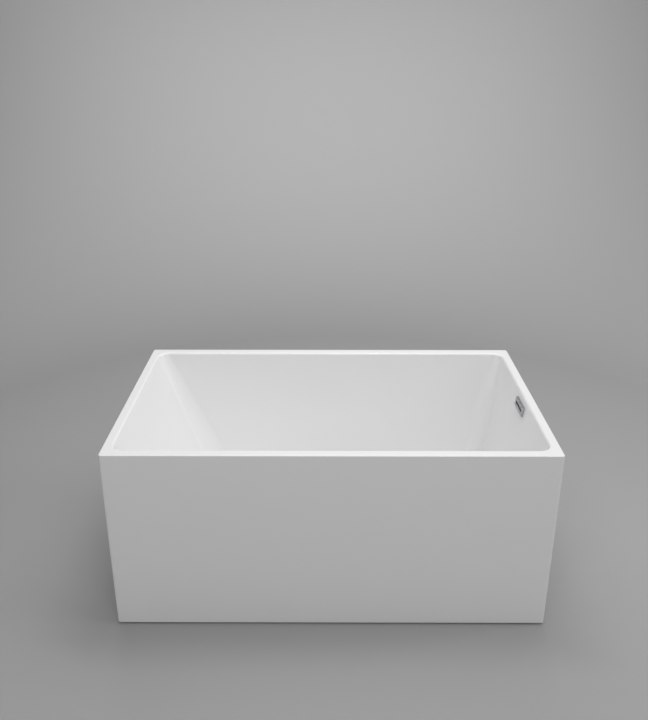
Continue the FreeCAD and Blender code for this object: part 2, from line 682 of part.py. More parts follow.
def make_tailpiece():
    """The outlet pipe that the drain in the floor takes, hung from the tee by its flange."""
    foot = SKIRT_FOOT_Z
    body = cylinder(22.5, TEE_FOOT_Z - 4, TEE_FOOT_Z - 1.5, WASTE_X).fuse([
        cylinder(18.3, TEE_FOOT_Z - 9, TEE_FOOT_Z - 4, WASTE_X),
        cylinder(PIPE_RADIUS, foot, TEE_FOOT_Z - 9, WASTE_X)])
    return body.cut(cylinder(17.0, 0.0, TEE_FOOT_Z, WASTE_X))


def make_tailpiece_washer():
    """The seal between the tailpiece's flange and the tee."""
    return ring(23.0, 17.5, TEE_FOOT_Z - 1.5, TEE_FOOT_Z, WASTE_X)


def make_slip_nut():
    """The ribbed nut that holds the tailpiece to the tee."""
    foot, top, radius = TEE_FOOT_Z - 7, TEE_FOOT_Z + 4, 28.5
    body = cylinder(radius, foot, top, WASTE_X)
    body = body.cut(cylinder(24.1, foot + 3, top + 1, WASTE_X))
    body = body.cut(cylinder(18.6, 0.0, top + 1, WASTE_X))
    ribs = [cylinder(1.6, foot, top, WASTE_X + radius * math.cos(t), radius * math.sin(t))
            for t in (math.radians(30 * i) for i in range(12))]
    return body.fuse(ribs)


def make_cartridge():
    """The click cartridge's barrel, screwed into the strainer's cross."""
    barrel = cylinder(7.0, CARTRIDGE_Z, CARTRIDGE_TOP_Z, WASTE_X)
    rim = [e for e in barrel.Edges if e.Closed and e.BoundBox.ZMin > CARTRIDGE_TOP_Z - 1]
    barrel = barrel.makeChamfer(0.8, rim)
    barrel = barrel.fuse(cylinder(3.9, CARTRIDGE_Z - 10, CARTRIDGE_Z, WASTE_X))
    barrel = barrel.cut(cylinder(5.0, CARTRIDGE_Z + 3, CARTRIDGE_TOP_Z - 2, WASTE_X))
    return barrel.cut(cylinder(3.7, CARTRIDGE_TOP_Z - 3, CARTRIDGE_TOP_Z + 1, WASTE_X)).removeSplitter()


def make_plunger():
    """The sliding pin of the cartridge, kept in by its collar."""
    pin = cylinder(3.4, CARTRIDGE_Z + 8, CAP_Z + 1, WASTE_X)
    return pin.fuse(cylinder(4.6, CARTRIDGE_Z + 8, CARTRIDGE_Z + 10, WASTE_X)).removeSplitter()


def make_cartridge_spring():
    """The spring under the plunger, pressed short while the stopper is down. A ring stands for each turn."""
    wire_radius, coil_radius, turns = 0.45, 4.2, 5
    foot = CARTRIDGE_Z + 3.1
    levels = [foot + (2 * i + 1) * wire_radius for i in range(turns)]
    sleeve = ring(coil_radius + 0.2, coil_radius - 0.2, levels[0], levels[-1], WASTE_X)
    rings = [Part.makeTorus(coil_radius, wire_radius, Vector(WASTE_X, 0, z)) for z in levels]
    return sleeve.fuse(rings).removeSplitter()


def make_stopper_cap():
    """The domed, chromed cap of the pop-up waste."""
    dome_height, radius = 3.2, 31.5
    sphere_radius = (radius ** 2 + dome_height ** 2) / (2 * dome_height)
    dome = Part.makeSphere(sphere_radius, Vector(WASTE_X, 0, CAP_Z + 1 + dome_height - sphere_radius))
    cap = cylinder(radius, CAP_Z, CAP_Z + 1 + dome_height, WASTE_X).common(dome)
    cap = cap.makeFillet(0.45, [e for e in cap.Edges if e.Closed and e.BoundBox.ZMin < CAP_Z + 0.1])
    boss = cylinder(9.0, CAP_Z - 5, CAP_Z, WASTE_X)
    return cap.fuse(boss).cut(cylinder(3.45, CAP_Z - 6, CAP_Z + 1, WASTE_X)).removeSplitter()


def make_stopper_seal():
    """The rubber seal under the cap, bevelled to the strainer's seat."""
    seal = ring(22.4, 9.05, CAP_Z - 2.4, CAP_Z, WASTE_X)
    outer = [e for e in seal.Edges
             if e.Closed and e.BoundBox.ZMax < CAP_Z - 2 and e.BoundBox.XLength > 40]
    return seal.makeChamfer(1.2, outer)


# ---------------------------------------------------------------- nodes
def all_nodes():
    """Every sub-part by its node name."""
    nodes = {
        "basin": make_basin(),
        "laminate": make_laminate(),
        "skirt": make_skirt(),
        "rim_bond": make_bond(),
        "base_board": make_board(),
        "front_rail": make_rail(-1),
        "back_rail": make_rail(1),
        "rail_end_caps": make_rail_caps(),
        "crossbar_end_plates": make_end_plates(),
        "bracket_bolts": make_bracket_bolts(),
        "skirt_screws": make_skirt_screws(),
        "skirt_screw_nuts": make_skirt_nuts(),
        "board_screws": make_board_screws(),
        "weld_nuts": make_weld_nuts(),
        "lock_nuts": make_lock_nuts(),
        "overflow_cover": make_overflow_cover(),
        "overflow_clip_frame": make_overflow_clip_frame(),
        "overflow_front_gasket": make_overflow_front_gasket(),
        "overflow_back_gasket": make_overflow_back_gasket(),
        "overflow_housing": make_overflow_housing(),
        "overflow_screws": make_overflow_screws(),
        "overflow_hose": make_hose(),
        "hose_clamps": make_hose_clamps(),
        "waste_strainer": make_strainer(),
        "strainer_gasket": make_strainer_gasket(),
        "waste_washer": make_waste_washer(),
        "waste_slip_washer": make_slip_washer(),
        "waste_back_nut": make_back_nut(),
        "waste_tee": make_tee(),
        "tailpiece": make_tailpiece(),
        "tailpiece_washer": make_tailpiece_washer(),
        "tailpiece_nut": make_slip_nut(),
        "click_cartridge": make_cartridge(),
        "cartridge_spring": make_cartridge_spring(),
        "stopper_plunger": make_plunger(),
        "stopper_cap": make_stopper_cap(),
        "stopper_seal": make_stopper_seal(),
    }
    for place, x in zip(("left", "middle", "right"), CROSSBAR_X):
        nodes[f"crossbar_{place}"] = make_crossbar(x)
        pair = [make_bracket(x, side) for side in (-1, 1)]
        nodes[f"skirt_brackets_{place}"] = Part.makeCompound(pair)
    for place, (x, y) in FEET.items():
        nodes[f"foot_sole_{place}"] = make_sole(x, y)
        nodes[f"foot_pad_{place}"] = make_pad(x, y)
        nodes[f"foot_stud_{place}"] = make_stud(x, y)
    return nodes


def main():
    """Writes one STEP file per node and prints what it is."""
    os.makedirs("parts", exist_ok=True)
    for name, shape in all_nodes().items():
        state = "ok" if shape.isValid() and shape.Solids else "BAD"
        size = f"solids {len(shape.Solids):2d}  volume {shape.Volume / 1000:9.2f} cm3"
        print(f"{name:28s} {state} {size}")
        shape.exportStep(f"parts/{name}.step")


main()
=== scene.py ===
"""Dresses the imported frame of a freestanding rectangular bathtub.

The acrylic basin, its skirt, the fittings and the steel frame on screw feet are modelled and finished here.
Sizes are in millimetres until a piece is placed; the scene is in metres, in the frame's own axes.
"""

from __future__ import annotations

import logging
import math
from collections.abc import Callable, Iterable
from dataclasses import dataclass
from enum import Enum

import bmesh
import bpy
from mathutils import Matrix, Vector

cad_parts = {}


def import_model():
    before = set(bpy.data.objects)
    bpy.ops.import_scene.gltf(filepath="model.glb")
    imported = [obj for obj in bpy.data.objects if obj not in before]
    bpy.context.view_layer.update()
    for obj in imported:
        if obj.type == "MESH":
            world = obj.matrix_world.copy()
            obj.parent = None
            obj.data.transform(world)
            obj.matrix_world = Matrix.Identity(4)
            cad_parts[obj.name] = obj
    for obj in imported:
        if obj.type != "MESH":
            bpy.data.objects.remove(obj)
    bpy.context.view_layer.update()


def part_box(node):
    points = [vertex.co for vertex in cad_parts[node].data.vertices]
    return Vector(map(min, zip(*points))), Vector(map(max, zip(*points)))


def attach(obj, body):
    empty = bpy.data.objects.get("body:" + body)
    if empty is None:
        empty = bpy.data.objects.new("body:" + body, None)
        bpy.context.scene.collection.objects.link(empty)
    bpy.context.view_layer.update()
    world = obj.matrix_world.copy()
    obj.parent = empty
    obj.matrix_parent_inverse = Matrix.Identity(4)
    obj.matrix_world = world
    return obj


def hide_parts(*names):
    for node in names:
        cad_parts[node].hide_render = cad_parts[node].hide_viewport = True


log = logging.getLogger("bathtub")

MM = 0.001
ROOT = "tub"
PLACES = ("front_left", "back_left", "middle", "front_right", "back_right")


class Slot(Enum):
    """The record's material slots."""

    ACRYLIC = "sanitary_acrylic"
    LAMINATE = "glass_fibre_laminate"
    SEALANT = "white_sealant"
    PLYWOOD = "birch_plywood"
    GALVANISED = "galvanised_steel"
    ZINC = "zinc_plated_steel"
    CHROME = "chromed_brass"
    BRASS = "bare_brass"
    SPRING = "spring_steel"
    POLYETHYLENE = "black_polyethylene"
    POLYPROPYLENE = "white_polypropylene"
    HOSE = "grey_hose_plastic"
    RUBBER = "black_rubber"


# ---------------------------------------------------------------- finishes
def linear(hex_colour: str) -> tuple[float, float, float, float]:
    """Turns an sRGB hex value into the linear colour that a shader socket takes."""
    channels = [int(hex_colour[i : i + 2], 16) / 255 for i in (0, 2, 4)]
    red, green, blue = (c / 12.92 if c <= 0.04045 else ((c + 0.055) / 1.055) ** 2.4 for c in channels)
    return red, green, blue, 1.0


def add_node(tree: bpy.types.NodeTree, kind: str, feeds: dict | None = None,
             **settings: object) -> bpy.types.Node:
    """Adds one node with its settings and its inputs.

    Args:
        tree: The node tree of a material or world.
        kind: The node's type name.
        feeds: A value, or another node's output to link, for each input by name or number.
        settings: The node's own properties.

    Returns:
        The new node.
    """
    node = tree.nodes.new(kind)
    for name, value in settings.items():
        setattr(node, name, value)
    for name, value in (feeds or {}).items():
        if isinstance(value, bpy.types.NodeSocket):
            tree.links.new(value, node.inputs[name])
        else:
            node.inputs[name].default_value = value
    return node


@dataclass(frozen=True)
class Finish:
    """A surface with one colour and a faint relief of its own, such as a moulding's orange peel.

    The relief is too low to see as a shape; it only breaks up the reflections, as on the real thing.
    """

    title: str
    slot: Slot
    colour: str
    roughness: float
    metallic: float = 0.0
    ior: float = 1.5
    relief_mm: float = 0.01
    wave_mm: float = 6.0
    second: str = ""
    patch_mm: float = 20.0

    def material(self) -> bpy.types.Material:
        """Returns the finish's material, and builds it the first time."""
        found = bpy.data.materials.get(self.title)
        if found:
            return found
        made = bpy.data.materials.new(self.title)
        made.use_nodes = True
        tree = made.node_tree
        shader = tree.nodes["Principled BSDF"]
        shader.inputs["Base Color"].default_value = linear(self.colour)
        shader.inputs["Roughness"].default_value = self.roughness
        shader.inputs["Metallic"].default_value = self.metallic
        if not self.metallic:
            shader.inputs["IOR"].default_value = self.ior
        self.detail(tree, shader, add_node(tree, "ShaderNodeTexCoord").outputs["Object"])
        return made

    def detail(self, tree: bpy.types.NodeTree, shader: bpy.types.Node, place: bpy.types.NodeSocket) -> None:
        """Adds the pattern of this surface.

        Args:
            tree: The material's node tree.
            shader: Its principled shader.
            place: The point on the piece, in metres.
        """
        waves = add_node(tree, "ShaderNodeTexNoise",
                         {"Vector": place, "Scale": 1 / (self.wave_mm * MM), "Detail": 2.0, "Roughness": 0.5})
        self.roughen(tree, shader, waves.outputs["Fac"], self.relief_mm)
        cloud = add_node(tree, "ShaderNodeTexNoise", {"Vector": place, "Scale": 1 / (self.patch_mm * MM)})
        if self.second:
            self.tint(tree, shader, cloud.outputs["Fac"])
        rough = add_node(tree, "ShaderNodeMapRange",
                         {"Value": cloud.outputs["Fac"], "From Min": 0.3, "From Max": 0.7,
                          "To Min": self.roughness * 0.88, "To Max": self.roughness * 1.12})
        tree.links.new(rough.outputs["Result"], shader.inputs["Roughness"])

    def tint(self, tree: bpy.types.NodeTree, shader: bpy.types.Node, share: bpy.types.NodeSocket) -> None:
        """Mixes the second colour into the first by a share from 0 to 1."""
        mix = add_node(tree, "ShaderNodeMix", {0: share, 6: linear(self.colour), 7: linear(self.second)},
                       data_type="RGBA")
        tree.links.new(mix.outputs[2], shader.inputs["Base Color"])

    def roughen(self, tree: bpy.types.NodeTree, shader: bpy.types.Node, height: bpy.types.NodeSocket,
                relief_mm: float) -> None:
        """Raises the surface by a height from 0 to 1 times the relief."""
        bump = add_node(tree, "ShaderNodeBump",
                        {"Height": height, "Distance": relief_mm * MM, "Strength": 1.0})
        tree.links.new(bump.outputs["Normal"], shader.inputs["Normal"])


@dataclass(frozen=True)
class StrandedLaminate(Finish):
    """Sprayed resin with chopped glass: milky, with crossing pale strands and a lumpy, half-wet skin."""

    strand_mm: float = 1.6
    strand_length_mm: float = 26.0

    def detail(self, tree: bpy.types.NodeTree, shader: bpy.types.Node, place: bpy.types.NodeSocket) -> None:
        """Lays three directions of strands over each other and lets them stand up a little."""
        layers = []
        for degrees in (12.0, 73.0, 134.0):
            turned = add_node(tree, "ShaderNodeMapping",
                              {"Vector": place,
                               "Rotation": (math.radians(degrees / 2), 0.3, math.radians(degrees)),
                               "Scale": (1 / (self.strand_length_mm * MM), 1 / (self.strand_mm * MM),
                                         1 / (self.strand_mm * 3 * MM))})
            layers.append(add_node(tree, "ShaderNodeTexNoise",
                                   {"Vector": turned.outputs["Vector"], "Scale": 1.0, "Detail": 1.0}))
        crossed = add_node(tree, "ShaderNodeMath", {0: layers[0].outputs["Fac"], 1: layers[1].outputs["Fac"]},
                           operation="MAXIMUM")
        strands = add_node(tree, "ShaderNodeMath", {0: crossed.outputs[0], 1: layers[2].outputs["Fac"]},
                           operation="MAXIMUM")
        share = add_node(tree, "ShaderNodeMapRange",
                         {"Value": strands.outputs[0], "From Min": 0.52, "From Max": 0.72, "To Min": 0.0,
                          "To Max": 1.0})
        self.tint(tree, shader, share.outputs["Result"])
        lumps = add_node(tree, "ShaderNodeTexNoise",
                         {"Vector": place, "Scale": 1 / (self.patch_mm * MM), "Detail": 3.0})
        height = add_node(tree, "ShaderNodeMath",
                          {0: share.outputs["Result"], 1: 0.35, 2: lumps.outputs["Fac"]},
                          operation="MULTIPLY_ADD")
        self.roughen(tree, shader, height.outputs[0], self.relief_mm)


@dataclass(frozen=True)
class PlywoodSheet(Finish):
    """Rotary-cut birch ply: pale faces with long soft grain, and light and dark veneers at the edges."""

    veneer_mm: float = 1.35
    grain_length_mm: float = 180.0

    def detail(self, tree: bpy.types.NodeTree, shader: bpy.types.Node, place: bpy.types.NodeSocket) -> None:
        """Draws grain along X, and the veneers by their level."""
        stretched = add_node(tree, "ShaderNodeMapping",
                             {"Vector": place,
                              "Scale": (1 / (self.grain_length_mm * MM), 1 / (self.wave_mm * MM),
                                        1 / (self.wave_mm * MM))})
        grain = add_node(tree, "ShaderNodeTexNoise",
                         {"Vector": stretched.outputs["Vector"], "Scale": 1.0, "Detail": 4.0,
                          "Distortion": 0.6})
        level = add_node(tree, "ShaderNodeSeparateXYZ", {"Vector": place})
        phase = add_node(tree, "ShaderNodeMath", {0: level.outputs["Z"], 1: math.pi / (self.veneer_mm * MM)},
                         operation="MULTIPLY")
        wave = add_node(tree, "ShaderNodeMath", {0: phase.outputs[0]}, operation="SINE")
        veneer = add_node(tree, "ShaderNodeMapRange",
                          {"Value": wave.outputs[0], "From Min": -0.25, "From Max": 0.25, "To Min": 0.0,
                           "To Max": 0.55})
        share = add_node(tree, "ShaderNodeMath",
                         {0: grain.outputs["Fac"], 1: 0.6, 2: veneer.outputs["Result"]},
                         operation="MULTIPLY_ADD", use_clamp=True)
        self.tint(tree, shader, share.outputs[0])
        self.roughen(tree, shader, grain.outputs["Fac"], self.relief_mm)


@dataclass(frozen=True)
class SpangledZinc(Finish):
    """Hot-dip galvanised steel: zinc crystals a thumbnail wide, each catching the light its own way."""

    def detail(self, tree: bpy.types.NodeTree, shader: bpy.types.Node, place: bpy.types.NodeSocket) -> None:
        """Gives each crystal its own grey and its own gloss."""
        crystals = add_node(tree, "ShaderNodeTexVoronoi",
                            {"Vector": place, "Scale": 1 / (self.patch_mm * MM)})
        grey = add_node(tree, "ShaderNodeSeparateColor", {"Color": crystals.outputs["Color"]})
        self.tint(tree, shader, grey.outputs["Red"])
        gloss = add_node(tree, "ShaderNodeMapRange",
                         {"Value": grey.outputs["Green"], "To Min": self.roughness * 0.75,
                          "To Max": self.roughness * 1.3})
        tree.links.new(gloss.outputs["Result"], shader.inputs["Roughness"])
        grit = add_node(tree, "ShaderNodeTexNoise",
                        {"Vector": place, "Scale": 1 / (self.wave_mm * MM), "Detail": 3.0})
        self.roughen(tree, shader, grit.outputs["Fac"], self.relief_mm)


@dataclass(frozen=True)
class SweepWithPaintedLight(Finish):
    """Matt board, grey on the floor, with painted light up the wall: paler the higher it goes, most of all in
    the middle.
    """

    painted_light_height: float = 1.85
    side_shade_rate: float = 0.125

    def detail(self, tree: bpy.types.NodeTree, shader: bpy.types.Node, place: bpy.types.NodeSocket) -> None:
        """Paints light on the wall: fades from the first colour on the floor to the second one at the top of
        the wall, less so towards the sides.
        """
        level = add_node(tree, "ShaderNodeSeparateXYZ", {"Vector": place})
        height = add_node(tree, "ShaderNodeMapRange",
                          {"Value": level.outputs["Z"], "From Min": 0.0, "From Max": self.painted_light_height})
        # Painted light: the share of the pale colour grows with height and shrinks towards the sides.
        rise = add_node(tree, "ShaderNodeMath", {0: height.outputs["Result"], 1: 0.5}, operation="POWER")
        across = add_node(tree, "ShaderNodeMath", {0: level.outputs["X"], 1: 2.0}, operation="POWER")
        painted_side_shade = add_node(tree, "ShaderNodeMath", {0: across.outputs[0], 1: -self.side_shade_rate, 2: 1.0},
                         operation="MULTIPLY_ADD", use_clamp=True)
        share = add_node(tree, "ShaderNodeMath", {0: rise.outputs[0], 1: painted_side_shade.outputs[0]},
                         operation="MULTIPLY")
        self.tint(tree, shader, share.outputs[0])


# Cast PMMA sheet, vacuum formed: a deep even white under a clear gloss with the faintest orange peel.
SANITARY_ACRYLIC = Finish("vacuum_formed_acrylic", Slot.ACRYLIC, "F0F0F0", 0.16, ior=1.49, relief_mm=0.006,
                          wave_mm=9.0, patch_mm=140.0)
# Neutral-cure silicone, tooled flush: as white as the acrylic, but satin.
SEALANT_BEAD = Finish("tooled_silicone", Slot.SEALANT, "EDEDEB", 0.38, ior=1.41, relief_mm=0.02, wave_mm=5.0)
# Polyester resin sprayed with chopped glass: milky cream, with paler strands.
GLASS_LAMINATE = StrandedLaminate("chopped_strand_laminate", Slot.LAMINATE, "C9C3AC", 0.34, ior=1.54,
                                  relief_mm=1.1, patch_mm=16.0, second="E9E6DA")
BIRCH_PLY = PlywoodSheet("birch_plywood", Slot.PLYWOOD, "DDBF93", 0.62, relief_mm=0.05, wave_mm=4.0,
                         second="A87F50")
GALVANISED_TUBE = SpangledZinc("hot_dip_galvanised_steel", Slot.GALVANISED, "B9BDC0", 0.42, 1.0,
                               relief_mm=0.03, wave_mm=1.5, second="8F9598", patch_mm=11.0)
# Bright zinc electroplate: bluish and even, with a faint milky bloom.
BRIGHT_ZINC = Finish("bright_zinc_plate", Slot.ZINC, "C3C8CE", 0.27, 1.0, relief_mm=0.01, wave_mm=0.8,
                     second="AEB6C2", patch_mm=7.0)
# Nickel and chromium over polished brass: a cool mirror with a little bloom from wiping.
POLISHED_CHROME = Finish("polished_chrome_plate", Slot.CHROME, "C9CBCD", 0.09, 1.0, relief_mm=0.002,
                         wave_mm=7.0, patch_mm=30.0)
# The same plate over a satin-brushed face, as on the small overflow cover.
SATIN_CHROME = Finish("satin_chrome_plate", Slot.CHROME, "B2B4B6", 0.26, 1.0, relief_mm=0.004, wave_mm=0.7)
# Free-cutting brass straight from the lathe: warm, with fine tool marks.
TURNED_BRASS = Finish("turned_brass", Slot.BRASS, "D2AE62", 0.24, 1.0, relief_mm=0.01, wave_mm=0.5,
                      second="BD9448", patch_mm=4.0)
DRAWN_STAINLESS = Finish("drawn_stainless_wire", Slot.SPRING, "B4B2AE", 0.22, 1.0, relief_mm=0.005,
                         wave_mm=0.6)
# Injection-moulded polyethylene: waxy black with a fine spark-eroded grain.
BLACK_POLYETHYLENE = Finish("moulded_polyethylene", Slot.POLYETHYLENE, "1B1C1D", 0.44, ior=1.51,
                            relief_mm=0.03, wave_mm=0.9, second="232425")
# Injection-moulded polypropylene: slightly translucent white, satin from the tool.
WHITE_POLYPROPYLENE = Finish("moulded_polypropylene", Slot.POLYPROPYLENE, "E3E3DF", 0.36, ior=1.49,
                             relief_mm=0.03, wave_mm=1.4, second="DADAD5", patch_mm=30.0)
# Extruded soft PVC: mid grey with a dull sheen.
HOSE_PVC = Finish("extruded_hose_pvc", Slot.HOSE, "8E9294", 0.4, ior=1.53, relief_mm=0.03, wave_mm=1.2,
                  second="858A8C")
# Nitrile rubber from the mould: matt black, faintly dusty.
NITRILE_RUBBER = Finish("moulded_nitrile_rubber", Slot.RUBBER, "161616", 0.68, ior=1.52, relief_mm=0.04,
                        wave_mm=1.0, second="222222", patch_mm=9.0)

# The studio's own floor and wall; the paler wall is painted light. It is no part of the tub, so its slot is
# never read.
SWEEP_WITH_PAINTED_LIGHT = SweepWithPaintedLight("studio_sweep_painted_light", Slot.SEALANT, "A7A7A7", 0.9, second="FBFBFB")


# ---------------------------------------------------------------- placing pieces
def box_mm(node: str) -> tuple[Vector, Vector]:
    """The lowest and highest corners of a frame node, in millimetres."""
    low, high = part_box(node)
    return low / MM, high / MM


def middle_mm(node: str) -> Vector:
    """The middle of a frame node's box, in millimetres."""
    low, high = box_mm(node)
    return (low + high) / 2


def turn_outwards(shape: bmesh.types.BMesh) -> None:
    """Makes each shell of a shape face outwards.

    Recalculated normals are judged by the farthest face alone, which on a long thread can be a flank that
    leans back. So each shell whose volume comes out negative is then turned round.
    """
    bmesh.ops.recalc_face_normals(shape, faces=shape.faces)
    waiting = set(shape.faces)
    while waiting:
        edge_of_shell = [waiting.pop()]
        shell = list(edge_of_shell)
        while edge_of_shell:
            near = {other for line in edge_of_shell.pop().edges for other in line.link_faces} & waiting
            waiting -= near
            edge_of_shell += near
            shell += near
        volume = sum(face.calc_area() * face.normal.dot(face.calc_center_median()) for face in shell) / 3
        if volume < 0:
            bmesh.ops.reverse_faces(shape, faces=shell)


def place_piece(name: str, shape: bmesh.types.BMesh, finish: Finish, stands_for: Iterable[str],
                body: str = ROOT, crease_degrees: float = 35.0) -> bpy.types.Object:
    """Makes a finished piece of a shape that is in millimetres.

    Args:
        name: The piece's name.
        shape: Its mesh, which is used up.
        finish: What it is made of.
        stands_for: The frame nodes that it is shown instead of.
        body: The body that it moves with.
        crease_degrees: Edges bent by more than this stay crisp.

    Returns:
        The new object.
    """
    bmesh.ops.remove_doubles(shape, verts=shape.verts, dist=0.002)
    turn_outwards(shape)
    bmesh.ops.scale(shape, verts=shape.verts, vec=(MM, MM, MM))
    mesh = bpy.data.meshes.new(name)
    shape.to_mesh(mesh)
    shape.free()
    mesh.shade_smooth()
    mesh.set_sharp_from_angle(angle=math.radians(crease_degrees))
    mesh.materials.append(finish.material())
    piece = bpy.data.objects.new(name, mesh)
    bpy.context.scene.collection.objects.link(piece)
    flatten = piece.modifiers.new("even_flats", "WEIGHTED_NORMAL")
    flatten.keep_sharp = True
    flatten.weight = 70
    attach(piece, body)
    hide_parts(*stands_for)
    log.info("%s: %d faces of %s on %s", name, len(mesh.polygons), finish.title, body)
    return piece


def dress(finish: Finish, *nodes: str) -> None:
    """Gives frame nodes whose shape is right their finish."""
    for name in nodes:
        node = bpy.data.objects[name]
        node.data.materials.clear()
        node.data.materials.append(finish.material())
        log.info("%s: dressed in %s", name, finish.title)


def round_edges(shape: bmesh.types.BMesh, radius: float, steps: int = 2, sharper_than: float = 40.0) -> None:
    """Rounds every edge that is bent by more than an angle in degrees."""
    limit = math.radians(sharper_than)
    sharp = [e for e in shape.edges if len(e.link_faces) == 2 and e.calc_face_angle(0.0) > limit]
    bmesh.ops.bevel(shape, geom=sharp, offset=radius, segments=steps, profile=0.5, affect="EDGES",
                    offset_type="OFFSET", clamp_overlap=True, material=-1)


def softened(node: str, radius: float, finish: Finish, body: str = ROOT) -> bpy.types.Object:
    """Shows a frame node again with the small round edges that the real piece has.

    Args:
        node: The frame node.
        radius: The radius of its edges.
        finish: What it is made of.
        body: The body that it moves with.

    Returns:
        The new object.
    """
    shape = bmesh.new()
    shape.from_mesh(bpy.data.objects[node].data)
    bmesh.ops.scale(shape, verts=shape.verts, vec=(1 / MM, 1 / MM, 1 / MM))
    bmesh.ops.remove_doubles(shape, verts=shape.verts, dist=0.005)
    bmesh.ops.dissolve_limit(shape, angle_limit=math.radians(1.0), verts=shape.verts, edges=shape.edges)
    round_edges(shape, radius)
    return place_piece(f"{node}_shown", shape, finish, [node], body)


def turned(section: list[tuple[float, float]], steps: int, x: float = 0.0,
           y: float = 0.0) -> bmesh.types.BMesh:
    """Spins a section round an upright axis.

    Args:
        section: (radius, height) points from one end to the other.
        steps: How many faces go round.
        x: Where the axis stands.
        y: Where the axis stands.

    Returns:
        The turned shape.
    """
    shape = bmesh.new()
    points = [shape.verts.new((radius, 0.0, height)) for radius, height in section]
    lines = [shape.edges.new(pair) for pair in zip(points, points[1:])]
    bmesh.ops.spin(shape, geom=points + lines, cent=(0, 0, 0), axis=(0, 0, 1), angle=math.tau, steps=steps,
                   use_merge=True)
    bmesh.ops.remove_doubles(shape, verts=shape.verts, dist=0.002)
    bmesh.ops.translate(shape, verts=shape.verts, vec=(x, y, 0.0))
    return shape


def add_bar(shape: bmesh.types.BMesh, low: tuple[float, float, float],
            high: tuple[float, float, float]) -> None:
    """Adds a block between two corners to a shape."""
    size = Vector(high) - Vector(low)
    where = Matrix.Translation((Vector(low) + Vector(high)) / 2) @ Matrix.Diagonal((*size, 1.0))
    bmesh.ops.create_cube(shape, size=1.0, matrix=where)


# ---------------------------------------------------------------- skins
@dataclass(frozen=True)
class Outline:
    """A rectangle with round corners; its left, right, front and back sides each have their own height."""

    left: float
    right: float
    front: float
    back: float
    radius: float
    heights: tuple[float, float, float, float]

    def point(self, corner: int, along: float, across: float) -> Vector:
        """The point on a corner's arc.

        Args:
            corner: 0 to 3, with 1 added for the right and 2 for the back.
            along: The arc's direction there, along X.
            across: The same along Y.

        Returns:
            The point, with its height eased from one side's to the other's round the corner.
        """
        right, back = corner & 1, corner >> 1
        x = self.right - self.radius if right else self.left + self.radius
        y = self.back - self.radius if back else self.front + self.radius
        end, side = self.heights[right], self.heights[2 + back]
        height = end * along**2 + side * across**2
        return Vector((x + self.radius * along, y + self.radius * across, height))


def level_outline(half_x: float, half_y: float, radius: float, height: float, x: float = 0.0) -> Outline:
    """A level outline about a point on the X axis; a circle where all three sizes are the same."""
    return Outline(x - half_x, x + half_x, -half_y, half_y, radius, (height,) * 4)


class Skin:
    """A surface pulled from outline to outline, as the section of a moulding runs."""

    def __init__(self, start: Outline, arc_steps: int = 16, shape: bmesh.types.BMesh | None = None) -> None:
        """Starts with one open outline.

        Args:
            start: The first outline.
            arc_steps: How many faces go round each corner.
            shape: The mesh to add to, or None for a new one.
        """
        self.shape = shape or bmesh.new()
        layers = self.shape.verts.layers.float_vector
        self.way = layers.get("way") or layers.new("way")
        grid = bmesh.ops.create_grid(self.shape, x_segments=1, y_segments=1, size=1.0)["verts"]
        made = bmesh.ops.bevel(self.shape, geom=grid, offset=0.5, segments=arc_steps, profile=0.5,
                               affect="VERTICES", offset_type="OFFSET", clamp_overlap=False, material=-1)
        for vert in made["verts"]:
            corner = int(vert.co.x > 0) + 2 * int(vert.co.y > 0)
            centre = Vector((math.copysign(0.5, vert.co.x), math.copysign(0.5, vert.co.y)))
            along, across = (vert.co.xy - centre).normalized()
            vert[self.way] = (along, across, corner)
        bmesh.ops.delete(self.shape, geom=list({f for v in made["verts"] for f in v.link_faces}),
                         context="FACES_ONLY")
        self.rim = self._settle(made["verts"], start, None)

    def _settle(self, verts: list[bmesh.types.BMVert], outline: Outline,
                ground: Callable[[float], float] | None) -> list[bmesh.types.BMEdge]:
        """Moves a loop of vertices to an outline and returns its edges."""
        for vert in verts:
            along, across, corner = vert[self.way]
            vert.co = outline.point(round(corner), along, across)
            if ground:
                vert.co.z += ground(vert.co.x)
        own = set(verts)
        return list({e for v in verts for e in v.link_edges if e.other_vert(v) in own})

    def pull(self, outline: Outline,
             ground: Callable[[float], float] | None = None) -> list[bmesh.types.BMFace]:
        """Extends the skin from its last outline to the next.

        Args:
            outline: Where it goes.
            ground: The height under each X that the outline's heights are above, if not 0.

        Returns:
            The new faces.
        """
        made = bmesh.ops.extrude_edge_only(self.shape, edges=self.rim)["geom"]
        verts = [part for part in made if isinstance(part, bmesh.types.BMVert)]
        self.rim = self._settle(verts, outline, ground)
        return list({f for e in self.rim for f in e.link_faces})


def flat_loop(shape: bmesh.types.BMesh, outline: Outline, where: Matrix,
              arc_steps: int = 6) -> list[bmesh.types.BMEdge]:
    """Adds one closed loop of edges to a shape, to cut a window with."""
    skin = Skin(outline, arc_steps, shape)
    verts = list({v for e in skin.rim for v in e.verts})
    bmesh.ops.transform(shape, matrix=where, verts=verts)
    bmesh.ops.remove_doubles(shape, verts=verts, dist=0.001)
    alive = {v for v in verts if v.is_valid}
    return list({e for v in alive for e in v.link_edges if e.other_vert(v) in alive})


def open_windows(shape: bmesh.types.BMesh, face: bmesh.types.BMFace,
                 loops: list[list[bmesh.types.BMEdge]]) -> None:
    """Refills a flat face around loops of edges that lie in it."""
    normal = face.normal.copy()
    edges = list(face.edges) + [edge for loop in loops for edge in loop]
    bmesh.ops.delete(shape, geom=[face], context="FACES_ONLY")
    bmesh.ops.triangle_fill(shape, use_beauty=True, use_dissolve=False, edges=edges, normal=normal)


def line_windows(shape: bmesh.types.BMesh, stations: list[list[list[bmesh.types.BMEdge]]]) -> None:
    """Joins each window's loops through the thickness, from one station to the next."""
    for near, far in zip(stations, stations[1:]):
        for one, other in zip(near, far):
            bmesh.ops.bridge_loops(shape, edges=one + other)


